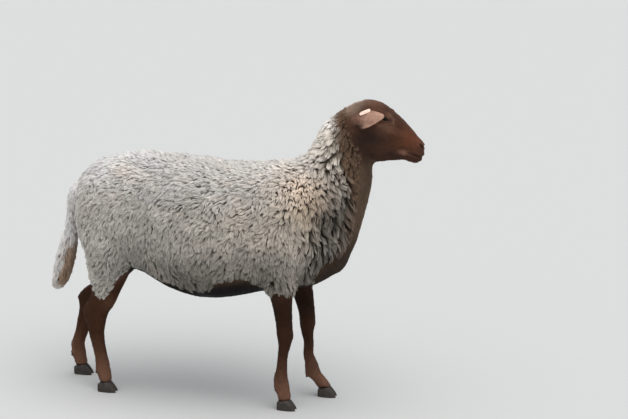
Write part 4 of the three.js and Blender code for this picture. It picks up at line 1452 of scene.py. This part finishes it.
class Locks:
    """The roots of the wool's locks and what each lock is like."""

    def __init__(self, ground, skin_settings, rng):
        outer = ground.middle(ground.outer)
        sizes = nearby(side_view(outer), LOCKS, lambda row: row[1:], LOCKS_BLEND)
        tail = (tail_share(outer) > 0.5)[:, None]
        sizes = np.where(tail, np.array(TAIL_LOCKS), sizes)
        bare = ground.middle(ground.wool) < 0.45
        bare |= cleft_share(ground.middle(ground.points)) > 0.5
        weight = np.where(bare, 0, 1 / sizes[:, 1] ** 2)
        triangles, shares = random_places(ground, weight, int((weight * ground.area).sum() * 8), rng)
        places = ground.blended(ground.points, triangles, shares)
        kept = spaced(places, sizes[triangles, 1] * rng.uniform(0.66, 0.90, len(triangles)))
        triangles, shares = triangles[kept], shares[kept]
        self.roots = places[kept]
        self.count = len(kept)
        self.normals = unit(ground.blended(ground.normals, triangles, shares))
        outer = ground.blended(ground.outer, triangles, shares)
        wool = ground.blended(ground.wool, triangles, shares)
        stand = smooth(0.45, 0.90, self.normals[:, 2])
        stand *= 1 - smooth(0.76, 0.84, outer[:, 2]) * smooth(0.20, 0.26, outer[:, 0])
        depth = dot(outer - self.roots, self.normals) * rng.uniform(0.86, 1.14, self.count)
        depth -= 0.0015 + 0.0045 * stand
        long, self.gap, self.blunt, self.parted = sizes[triangles].T
        self.long = long * rng.uniform(0.84, 1.16, self.count) * (0.45 + 0.55 * smooth(0.5, 1, wool))
        loose = 1 - 0.55 * smooth(0.88, 1.0, self.parted)
        path = lock_paths(ground, self.roots, self.normals, self.long, depth, stand, loose, rng)
        self.middle, self.ups, self.ways = path
        all_wool, no_ear = np.ones(self.count), np.zeros(self.count)
        self.tone = coat_colour(outer, self.normals, all_wool, no_ear, skin_settings)
        self.tone *= rng.uniform(0.90, 1.07, self.count)[:, None]
        self.layout = root_layout(ground, triangles, shares)
        self.phase = rng.random(self.count) * math.tau
        self.waves = rng.uniform(0.9, 1.5, self.count)
        self.stand = np.maximum(stand, smooth(0.62, 0.95, depth / self.long))

    def rooted_strands(self, between, rng):
        """Strands spread evenly over the skin: whose lock each is in, where, and how near its edge.

        Each lock owns the ground nearest to its own root, less a parting round it.
        """
        reach = LOCK_REACH * self.gap
        tries = np.maximum((math.pi * reach**2 / between**2).round().astype(int), 3)
        owner = np.repeat(np.arange(self.count), tries)
        away = reach[owner] * np.sqrt(rng.random(len(owner)))
        turn = rng.random(len(owner)) * math.tau
        beside, behind = away * np.cos(turn), away * np.sin(turn)
        way = self.ways[owner, 0]
        side = np.cross(self.normals[owner], way)
        places = self.roots[owner] + side * beside[:, None] - way * behind[:, None]
        tree = KDTree(self.count)
        for k, root in enumerate(self.roots.tolist()):
            tree.insert(root, k)
        tree.balance()
        nearest = [[(hit[1], hit[2]) for hit in tree.find_n(place, 2)] for place in places.tolist()]
        nearest = np.array(nearest)
        other = nearest[:, 1, 0].astype(int)
        apart = np.linalg.norm(self.roots[owner] - self.roots[other], axis=1)
        inside = (nearest[:, 1, 1] ** 2 - nearest[:, 0, 1] ** 2) / (2 * np.maximum(apart, 1e-6))
        parting = self.gap * (PARTINGS[0] + PARTINGS[1] * smooth(0.55, 1.0, self.parted))
        kept = (nearest[:, 0, 0].astype(int) == owner) & (inside > parting[owner])
        kept &= cleft_share(places) < 0.5
        owner, inside = owner[kept], inside[kept]
        edge = 1 - np.clip((inside - parting[owner]) / (LOCK_EDGE * self.gap[owner]), 0, 1)
        return owner, beside[kept], behind[kept], edge


def wool_strands(locks, strands, steps, fleece, rng):
    """Draws the given strands: middle lines, ways across, facings, widths and colours.

    A strand follows its lock's middle line, closes in on it towards the tip as far as the lock is
    not blunt, and waves. Strays are thin ones that stand off. A cord is a lock that parts most.
    """
    owner, beside, above, edge = strands
    count = len(owner)
    parted, blunt, gap = locks.parted[owner], locks.blunt[owner], locks.gap[owner]
    stray = rng.random(count) < STRAYS
    soft = smooth(0.40, 0.18, parted)
    part = 1.04 - (0.20 + 0.26 * soft) * rng.random(count)
    part = part * (1 - 0.12 * edge**2 * parted) * np.where(stray, 1.12, 1)
    sink = edge**2 * (0.001 + 0.005 * parted)
    flush = 0.6 * (1 - locks.stand[owner])
    swing = fleece.crimp * locks.long[owner] / 0.040
    cord = smooth(0.85, 1.0, parted)
    slip = rng.normal(0, 0.0018, count) * (1 - 0.5 * cord + 0.8 * soft)
    jitter = rng.normal(0, 0.8, count) * (1 - 0.7 * cord)
    lines, overs, faces, lit = [], [], [], []
    for step in steps:
        uneven = 1 + 0.12 * math.sin(math.pi * step) * np.sin(7 * jitter)
        at = np.clip(step * part * uneven * RUNS, 0, RUNS - 1e-6)
        k = at.astype(int)
        past = (at - k)[:, None]
        spot, up, way = (
            line[owner, k] * (1 - past) + line[owner, k + 1] * past
            for line in (locks.middle, locks.ups, locks.ways)
        )
        up, way = unit(up), unit(way)
        side = np.cross(up, way)
        over = unit(np.cross(locks.middle[owner, k + 1] - locks.middle[owner, k], side))
        over = np.where((dot(over, up) < 0)[:, None], -over, over)
        close = blunt + (1 - blunt) * (1 - step) ** 0.75
        close = close * (1 + 0.22 * math.sin(math.pi * step)) * np.where(stray, 1.5, 1)
        wave = locks.phase[owner] + locks.waves[owner] * math.tau * step + jitter
        aside = beside * close + swing * step**0.7 * np.sin(wave) + step * slip
        raised = above * close * (0.5 + 0.5 * step) * (1 - flush * step)
        raised = raised + 0.6 * swing * step**0.7 * np.cos(wave) - sink * step
        lines.append(spot + side * aside[:, None] + over * raised[:, None])
        lit.append(1 - CLEFT_SHADE * cleft_share(lines[-1]))
        overs.append(over)
        faces.append(unit(up + side * (0.8 * aside / gap)[:, None]))
    ropy = smooth(0.6, 1.0, parted)
    width = fleece.strand * rng.uniform(0.75, 1.2, count) * np.where(stray, 0.55, 1) * (1 + 0.35 * ropy)
    widths = width[:, None] * np.interp(steps[:-1], *STRAND_TAPER)[None]
    # Painted shade: dark at the roots, at the edges of the locks and deeper where they part, with a painted
    # highlight on the tips of the cords.
    shade = np.interp(steps, *STRAND_SHADE)
    deep = ((0.18 + 1.22 * parted) * (1 - 0.35 * locks.stand[owner])).clip(0, 1.25)
    shade = 1 - (1 - shade)[None] * deep[:, None]
    shade = shade.clip(0.05, 1.1) ** (1 + 2.0 * ropy)[:, None]
    shade = shade * (1 - (edge**3 * (0.10 + 0.50 * parted))[:, None])
    shade = shade * (1 + 0.22 * ropy[:, None] * smooth(0.4, 0.8, steps)[None])
    shade = np.clip(shade * rng.uniform(0.96, 1.03, count)[:, None], 0.08, 1.35)
    warm = 1 + (np.array(SHADE_TINT) - 1) * (1 - shade.clip(0, 1))[:, :, None]
    shade = (shade * np.stack(lit, 1))[:, :, None]
    tone = np.clip(locks.tone[owner][:, None, :] * shade * warm, 0, 1)
    return np.stack(lines, 1), np.stack(overs, 1), np.stack(faces, 1), widths, tone


def grow_fleece(ground, fleece, skin_settings):
    """All the wool, lock by lock, as a few meshes that each span the whole body."""
    rng = np.random.default_rng(fleece.seed)
    locks = Locks(ground, skin_settings, rng)
    made = []
    strands = locks.rooted_strands(fleece.between, rng)
    short = locks.long < LONG_LOCK
    for steps, mine in ((SHORT_STEPS, short), (LONG_STEPS, ~short)):
        chosen = [values[mine[strands[0]]] for values in strands]
        owner = chosen[0]
        own = 0.34 + 0.22 * smooth(0.2, 0.5, locks.parted[owner])
        lines, overs, faces, widths, tone = wool_strands(locks, chosen, np.array(steps), fleece, rng)
        pieces = pieces_for(len(owner), len(steps) - 1)
        for k in range(pieces):
            part = owner % pieces == k
            made.append(strand_mesh(
                f"fleece_{len(made) + 1}", lines[part, :-1], overs[part, :-1], widths[part],
                lines[part, -1], tone[part], locks.layout[owner[part]], 0.8, faces[part],
                own[part],
            ))
    return made


def hair_sizes(outer, ear):
    """Length and fineness of the short hair at each place, as shares of the neck's."""
    x, z = outer[:, 0], outer[:, 2]
    face = smooth(0.33, 0.40, x) * smooth(0.70, 0.74, z)
    nose = smooth(0.46, 0.52, x) * face
    low = smooth(0.30, 0.22, z)
    foot = smooth(0.09, 0.05, z)
    share = 1 - 0.46 * face - 0.22 * nose - 0.38 * low - 0.14 * foot
    share = np.where(ear > 0.5, 0.38, share)
    front = (1 - face) * smooth(0.30, 0.35, x) * smooth(0.34, 0.40, z)
    return share + 0.18 * poll_share(outer) + 0.20 * front, share


def hair_roots(ground, hair, rng):
    """Where the tufts of short hair grow, as triangles of the skin and shares of their corners."""
    outer = ground.middle(ground.outer)
    hairy = (ground.middle(ground.wool) < 0.6) & (ground.middle(ground.points)[:, 2] > HAIR_FROM)
    hairy &= ground.middle(ground.groove) < 0.35
    _, fine = hair_sizes(outer, ground.middle(ground.ear))
    gap = hair.spacing * (0.45 + 0.55 * fine)
    weight = np.where(hairy, 1 / gap**2, 0)
    triangles, shares = random_places(ground, weight, int((weight * ground.area).sum() * 2.4), rng)
    places = ground.blended(ground.points, triangles, shares)
    kept = []
    for low, high in FINENESS_BANDS:
        group = np.nonzero((fine[triangles] >= low) & (fine[triangles] < high))[0]
        if len(group):
            kept.append(group[one_to_a_cell(places[group], gap[triangles[group]].mean())])
    kept = np.concatenate(kept)
    kept = kept[~near_eye_opening(places[kept])]
    return triangles[kept], shares[kept], places[kept]


def grow_hair(ground, hair, skin_settings):
    """Tufts of short hair over the head, legs, belly and front."""
    rng = np.random.default_rng(hair.seed)
    triangles, shares, roots = hair_roots(ground, hair, rng)
    count = len(roots)
    normals = unit(ground.blended(ground.normals, triangles, shares))
    outer = ground.blended(ground.outer, triangles, shares)
    ear = smooth(0.3, 0.7, ground.blended(ground.ear, triangles, shares))
    long, fine = hair_sizes(outer, ear)
    on_right = (roots[:, 1] < 0)[:, None]
    heading = np.where(on_right, unit(EAR_HEADING["right"]), unit(EAR_HEADING["left"]))
    way = lie_of_coat(roots, normals, heading, ear)
    angle = 0.25 * drift(roots, 0.04, 61) + 0.18 * drift(roots, 0.01, 62)
    angle += rng.normal(0, 1, count) * (0.13 + 0.5 * poll_share(outer))
    way = turned(way, normals, angle)
    size = hair.tuft * long * rng.uniform(0.75, 1.25, count)
    steep = rng.uniform(7, 13, count) + 12 * poll_share(outer) - 5.5 * smooth(0.36, 0.30, roots[:, 2])
    lean = np.radians(steep)
    half, up = ground.nearest(roots + way * (0.5 * size * np.cos(lean))[:, None])
    end, end_up = ground.nearest(roots + way * (size * np.cos(lean))[:, None])
    hem = (roots[:, 2] < HEM_BELOW)[:, None]
    half = np.where(hem, roots + way * (0.5 * size)[:, None] + normals * 0.001, half)
    end = np.where(hem, roots + way * size[:, None] + normals * 0.0015, end)
    stand = (size * np.sin(lean))[:, None]
    start = roots - normals * 0.0004
    rings = np.stack([start, half + up * (stand * 0.62 + 0.0003)], 1)
    tips = end + end_up * (stand * 0.9 + 0.0002)
    width = hair.width * (0.40 + 0.60 * fine) * rng.uniform(0.75, 1.2, count)
    widths = width[:, None] * np.array([1.0, 0.85])[None]
    tone = coat_colour(outer, normals, np.zeros(count), ear, skin_settings)
    tone = tone * rng.uniform(0.85, 1.16, count)[:, None]
    colours = np.clip(tone[:, None, :] * np.array(HAIR_SHADE)[None, :, None], 0, 1)
    layout = root_layout(ground, triangles, shares)
    pieces = pieces_for(count, 2)
    made = []
    for k in range(pieces):
        mine = np.arange(count) % pieces == k
        made.append(strand_mesh(
            f"hair_{k + 1}", rings[mine], np.stack([normals, up], 1)[mine], widths[mine], tips[mine],
            colours[mine], layout[mine], 0.36, np.stack([normals, up, end_up], 1)[mine], 0.25,
        ))
    return made


def near_eye_opening(places):
    """Where no hair grows: the eyes and the rims of their lids."""
    hit = np.zeros(len(places), bool)
    for side in SIDES.values():
        centre, gaze, slit, up = eye_frame(side)
        heading, radius = around(centre, places)
        u = dot(heading, slit) / ((SLIT["half"] + 2.0 * MM) / EYE_RADIUS)
        v = dot(heading, up) / ((SLIT["top"] + 1.6 * MM) / EYE_RADIUS)
        hit |= (radius < 0.024) & (dot(heading, gaze) > 0.2) & (u**2 + v**2 < 1)
    return hit


def grow_lashes(seed):
    """Lashes along both upper lids, as one mesh."""
    rng = np.random.default_rng(seed)
    rings, tips, ups = [], [], []
    for side in SIDES.values():
        centre, gaze, slit, up = eye_frame(side)
        for share in np.linspace(-0.82, 0.82, LASHES_ON_A_LID):
            share += rng.normal(0, 0.02)
            u = share * SLIT["half"]
            v = SLIT["top"] * lids_open(min(abs(share), 1))
            radius = EYE_RADIUS + 1.7 * MM
            out = math.sqrt(radius**2 - u**2 - v**2)
            root = centre + u * slit + v * up + out * gaze
            long = rng.uniform(4, 6) * MM
            lean = unit(gaze + 0.05 * up + share * 0.5 * slit + rng.normal(0, 0.08, 3))
            bend = root + lean * long * 0.55
            rings.append([root - lean * 0.8 * MM, bend])
            tips.append(bend + unit(lean - 0.45 * up) * long * 0.45)
            ups.append([up, up])
    count = len(rings)
    colours = np.tile(np.array(LASH_BLACK), (count, 3, 1))
    layout = np.stack([np.linspace(0.02, 0.98, count), np.full(count, 0.5)], 1)
    widths = np.tile(np.array(LASH_WIDTHS), (count, 1))
    ways = np.array([[up, up, up] for up, _ in ups])
    rings, ups, tips = np.array(rings), np.array(ups), np.array(tips)
    return strand_mesh("lashes", rings, ups, widths, tips, colours, layout, 0.8, ways, 0.8)


# ---- pieces ------------------------------------------------------------------------------------
class EWE_OT_skin(bpy.types.Operator):
    """Builds the one skin that stands for all the flesh and the ears"""

    bl_idname = "ewe.skin"
    bl_label = "Skin"

    def execute(self, context):
        settings = context.scene.ewe_skin
        skin = fused_flesh(settings.grain)
        under_the_coat(skin, settings)
        refine_head_and_legs(skin)
        shape_legs(skin)
        raise_forms(skin, both_sides(HEAD_FORMS))
        raise_forms(skin, both_sides(MUZZLE_FORMS))
        open_lids(skin)
        join_ears(skin)
        shade_smooth(skin)
        colour_skin(skin.data, settings)
        unwrap(skin)
        nodes = [*flesh_nodes(), "right_ear", "left_ear"]
        finished(skin, "skin", skin_material(), nodes=nodes)
        return {"FINISHED"}


class EWE_OT_fleece(bpy.types.Operator):
    """Grows the fleece of wool locks over the skin"""

    bl_idname = "ewe.fleece"
    bl_label = "Fleece"

    def execute(self, context):
        ground = Ground(bpy.data.objects["skin"])
        material = coat_material("ewe_wool", 60, 0.88, 1.1, 0.9, 0.08)
        for piece in grow_fleece(ground, context.scene.ewe_fleece, context.scene.ewe_skin):
            finished(piece, piece.name, material)
        return {"FINISHED"}


class EWE_OT_hair(bpy.types.Operator):
    """Grows the short hair of the head, legs, belly and front, and the lashes"""

    bl_idname = "ewe.hair"
    bl_label = "Short hair and lashes"

    def execute(self, context):
        ground = Ground(bpy.data.objects["skin"])
        hair = context.scene.ewe_hair
        material = coat_material("ewe_hair", 90, 0.85, 1.15, 0.6, 0.02)
        for piece in [*grow_hair(ground, hair, context.scene.ewe_skin), grow_lashes(hair.seed)]:
            finished(piece, piece.name, material)
        return {"FINISHED"}


class EWE_OT_eyes(bpy.types.Operator):
    """Makes both eyeballs, each with the bulge of its cornea"""

    bl_idname = "ewe.eyes"
    bl_label = "Eyes"

    def execute(self, context):
        for name, sign in SIDES.items():
            centre, gaze, _, _ = eye_frame(sign)
            bpy.ops.mesh.primitive_uv_sphere_add(
                segments=48, ring_count=32, radius=EYE_RADIUS - 0.2 * MM, location=centre
            )
            eye = context.object
            settle(eye)
            points = points_of(eye.data)
            away = unit(points - centre)
            bulge = smooth(0.72, 0.98, dot(away, gaze)) * CORNEA
            put_points(eye.data, points + away * bulge[:, None])
            shade_smooth(eye)
            material = eye_material(name, context.scene.ewe_details)
            finished(eye, f"{name}_eye_ball", material, nodes=[f"{name}_eye"])
        return {"FINISHED"}


class EWE_OT_claws(bpy.types.Operator):
    """Makes the eight claws of the hooves and the eight dew claws"""

    bl_idname = "ewe.claws"
    bl_label = "Claws"

    def execute(self, context):
        material = horn_material(context.scene.ewe_details)
        for node in sorted(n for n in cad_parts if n.endswith("claw")):
            claw = copied(node)
            apply_modifier(claw, "REMESH", mode="VOXEL", voxel_size=CLAW_GRAIN)
            points = relaxed(points_of(claw.data), edges_of(claw.data), 10)
            points[:, 2] = np.where(points[:, 2] < 0.9 * MM, 0, points[:, 2])
            put_points(claw.data, points)
            shade_smooth(claw)
            finished(claw, node + "_horn", material, nodes=[node])
        for name, sign in SIDES.items():
            for leg in LEGS:
                for word, out in (("outer", 1), ("inner", -1)):
                    dew = dew_claw(leg, sign, out)
                    finished(dew, f"{name}_{leg}_{word}_dew_claw", material)
        return {"FINISHED"}


def dew_claw(leg, side, out):
    """A small blunt cone of horn, leaning back and down behind the pastern."""
    x, y, _ = on_leg(leg, side, LEGS[leg][2], out * 10 * MM, DEW_SEAT)
    place = (x + 3.5 * MM, y, DEW_HEIGHT)
    bpy.ops.mesh.primitive_cone_add(
        vertices=20, radius1=4.8 * MM, radius2=2.2 * MM, depth=10 * MM, location=place
    )
    dew = bpy.context.object
    dew.rotation_euler = (0, math.radians(205), 0)
    settle(dew)
    apply_modifier(dew, "BEVEL", width=1.2 * MM, segments=3)
    shade_smooth(dew)
    return dew


class EWE_OT_tag(bpy.types.Operator):
    """Makes the blank two-part tag in the right ear"""

    bl_idname = "ewe.tag"
    bl_label = "Ear tag"

    def execute(self, context):
        settings = context.scene.ewe_details
        material = tag_material(settings)
        seat = ear_place("right") @ Matrix.Translation(TAG_SEAT) @ Matrix.Rotation(TAG_TURN[0], 4, "X")
        seat = seat @ Matrix.Rotation(TAG_TURN[1], 4, "Z")
        front = tag_plate(settings.tag_length, settings.tag_width, 1.7 * MM)
        stem = tag_stem(2.1 * MM, -9 * MM, 1 * MM)
        cap = tag_stem(3.4 * MM, 2.6 * MM, 4.0 * MM)
        front = joined([front, stem, cap])
        back = joined([tag_plate(13.5 * MM, 12 * MM, -8.1 * MM), tag_stem(3 * MM, -10.6 * MM, -9.2 * MM)])
        for piece, node in ((front, "ear_tag_front"), (back, "ear_tag_back")):
            piece.data.transform(seat)
            bpy.context.view_layer.update()
            only(piece)
            bpy.ops.object.shade_smooth_by_angle(angle=math.radians(50))
            finished(piece, node + "_plate", material, nodes=[node])
        return {"FINISHED"}


def tag_plate(long, wide, z):
    """A flat disc drawn out to a rounded bar, with softened edges."""
    bpy.ops.mesh.primitive_cylinder_add(vertices=64, radius=wide / 2, depth=TAG_THICK, location=(0, 0, z))
    plate = bpy.context.object
    settle(plate)
    points = points_of(plate.data)
    points[:, 0] += np.sign(points[:, 0]) * (np.abs(points[:, 0]) > 1e-6) * (long - wide) / 2
    put_points(plate.data, points)
    apply_modifier(plate, "BEVEL", width=0.0007, segments=3, limit_method="ANGLE")
    return plate


def tag_stem(radius, low, high):
    """A short round pin or cap along the tag's own upright."""
    bpy.ops.mesh.primitive_cylinder_add(
        vertices=32, radius=radius, depth=high - low, location=(0, 0, (low + high) / 2)
    )
    stem = bpy.context.object
    settle(stem)
    apply_modifier(stem, "BEVEL", width=0.0004, segments=2, limit_method="ANGLE")
    return stem


# ---- the stage ---------------------------------------------------------------------------------
# The camera's place, the ways that its own right and top point, and its lens in millimetres.
CAMERA_PLACE = (1.0451, -5.1547, 1.6760)
CAMERA_ACROSS = (0.98492, 0.16628, 0.04778)
CAMERA_UP = (-0.08073, 0.19747, 0.97698)
CAMERA_LENS = 108.77
SKY_TINT = (0.86, 0.92, 1.0, 1)
OVERHEAD_WAY = (-0.10, 0.30, -1)


class EWE_OT_stage(bpy.types.Operator):
    """Sets the plain floor, the soft light and the camera"""

    bl_idname = "ewe.stage"
    bl_label = "Stage"

    def execute(self, context):
        settings = context.scene.ewe_stage
        bpy.ops.mesh.primitive_plane_add(size=40)
        floor = context.object
        floor.name = "floor"
        material, tree, surface = new_material("stage_floor")
        feed(tree, surface, {"Base Color": (*settings.floor, 1), "Roughness": 0.9})
        floor.data.materials.append(material)
        bpy.ops.object.light_add(type="SUN", location=(0, 0, 3))
        sky = context.object
        sky.name = "overhead"
        sky.rotation_euler = Vector(OVERHEAD_WAY).to_track_quat("-Z", "Y").to_euler()
        sky.data.angle = math.radians(75)
        sky.data.energy = settings.overhead
        world = bpy.data.worlds.new("soft_sky")
        world.use_nodes = True
        background = world.node_tree.nodes["Background"]
        feed(world.node_tree, background, {"Color": SKY_TINT, "Strength": settings.sky})
        context.scene.world = world
        context.scene.view_settings.view_transform = "Standard"
        place_camera(context)
        return {"FINISHED"}


def place_camera(context):
    """Sets the camera to one side, a little ahead of the ewe and above it."""
    across, up = Vector(CAMERA_ACROSS).normalized(), Vector(CAMERA_UP).normalized()
    back = across.cross(up)
    turn = Matrix((across, up, back)).transposed()
    bpy.ops.object.camera_add(location=CAMERA_PLACE, rotation=turn.to_euler())
    camera = context.object
    camera.data.sensor_width = 36
    camera.data.lens = CAMERA_LENS
    camera.data.clip_end = 60
    context.scene.camera = camera


# ---- add-on ------------------------------------------------------------------------------------
OPERATORS = (EWE_OT_skin, EWE_OT_fleece, EWE_OT_hair, EWE_OT_eyes, EWE_OT_claws, EWE_OT_tag, EWE_OT_stage)
SETTINGS = {
    "ewe_skin": EweSkinSettings,
    "ewe_fleece": EweFleeceSettings,
    "ewe_hair": EweHairSettings,
    "ewe_details": EweDetailSettings,
    "ewe_stage": EweStageSettings,
}


class EWE_PT_panel(bpy.types.Panel):
    """Lists the steps that build the ewe"""

    bl_idname = "EWE_PT_panel"
    bl_label = "Standing Ewe"
    bl_space_type = "VIEW_3D"
    bl_region_type = "UI"
    bl_category = "Ewe"

    def draw(self, context):
        for operator in OPERATORS:
            self.layout.operator(operator.bl_idname)
        for name, group in SETTINGS.items():
            box = self.layout.box()
            for key in group.__annotations__:
                box.prop(getattr(context.scene, name), key)


def register():
    for group in SETTINGS.values():
        bpy.utils.register_class(group)
    for name, group in SETTINGS.items():
        setattr(bpy.types.Scene, name, bpy.props.PointerProperty(type=group))
    for kind in (*OPERATORS, EWE_PT_panel):
        bpy.utils.register_class(kind)


def unregister():
    for kind in (EWE_PT_panel, *reversed(OPERATORS)):
        bpy.utils.unregister_class(kind)
    for name, group in SETTINGS.items():
        delattr(bpy.types.Scene, name)
        bpy.utils.unregister_class(group)


def main():
    register()
    bpy.ops.ewe.skin()
    bpy.ops.ewe.fleece()
    bpy.ops.ewe.hair()
    bpy.ops.ewe.eyes()
    bpy.ops.ewe.claws()
    bpy.ops.ewe.tag()
    bpy.ops.ewe.stage()


if __name__ == "__main__":
    main()
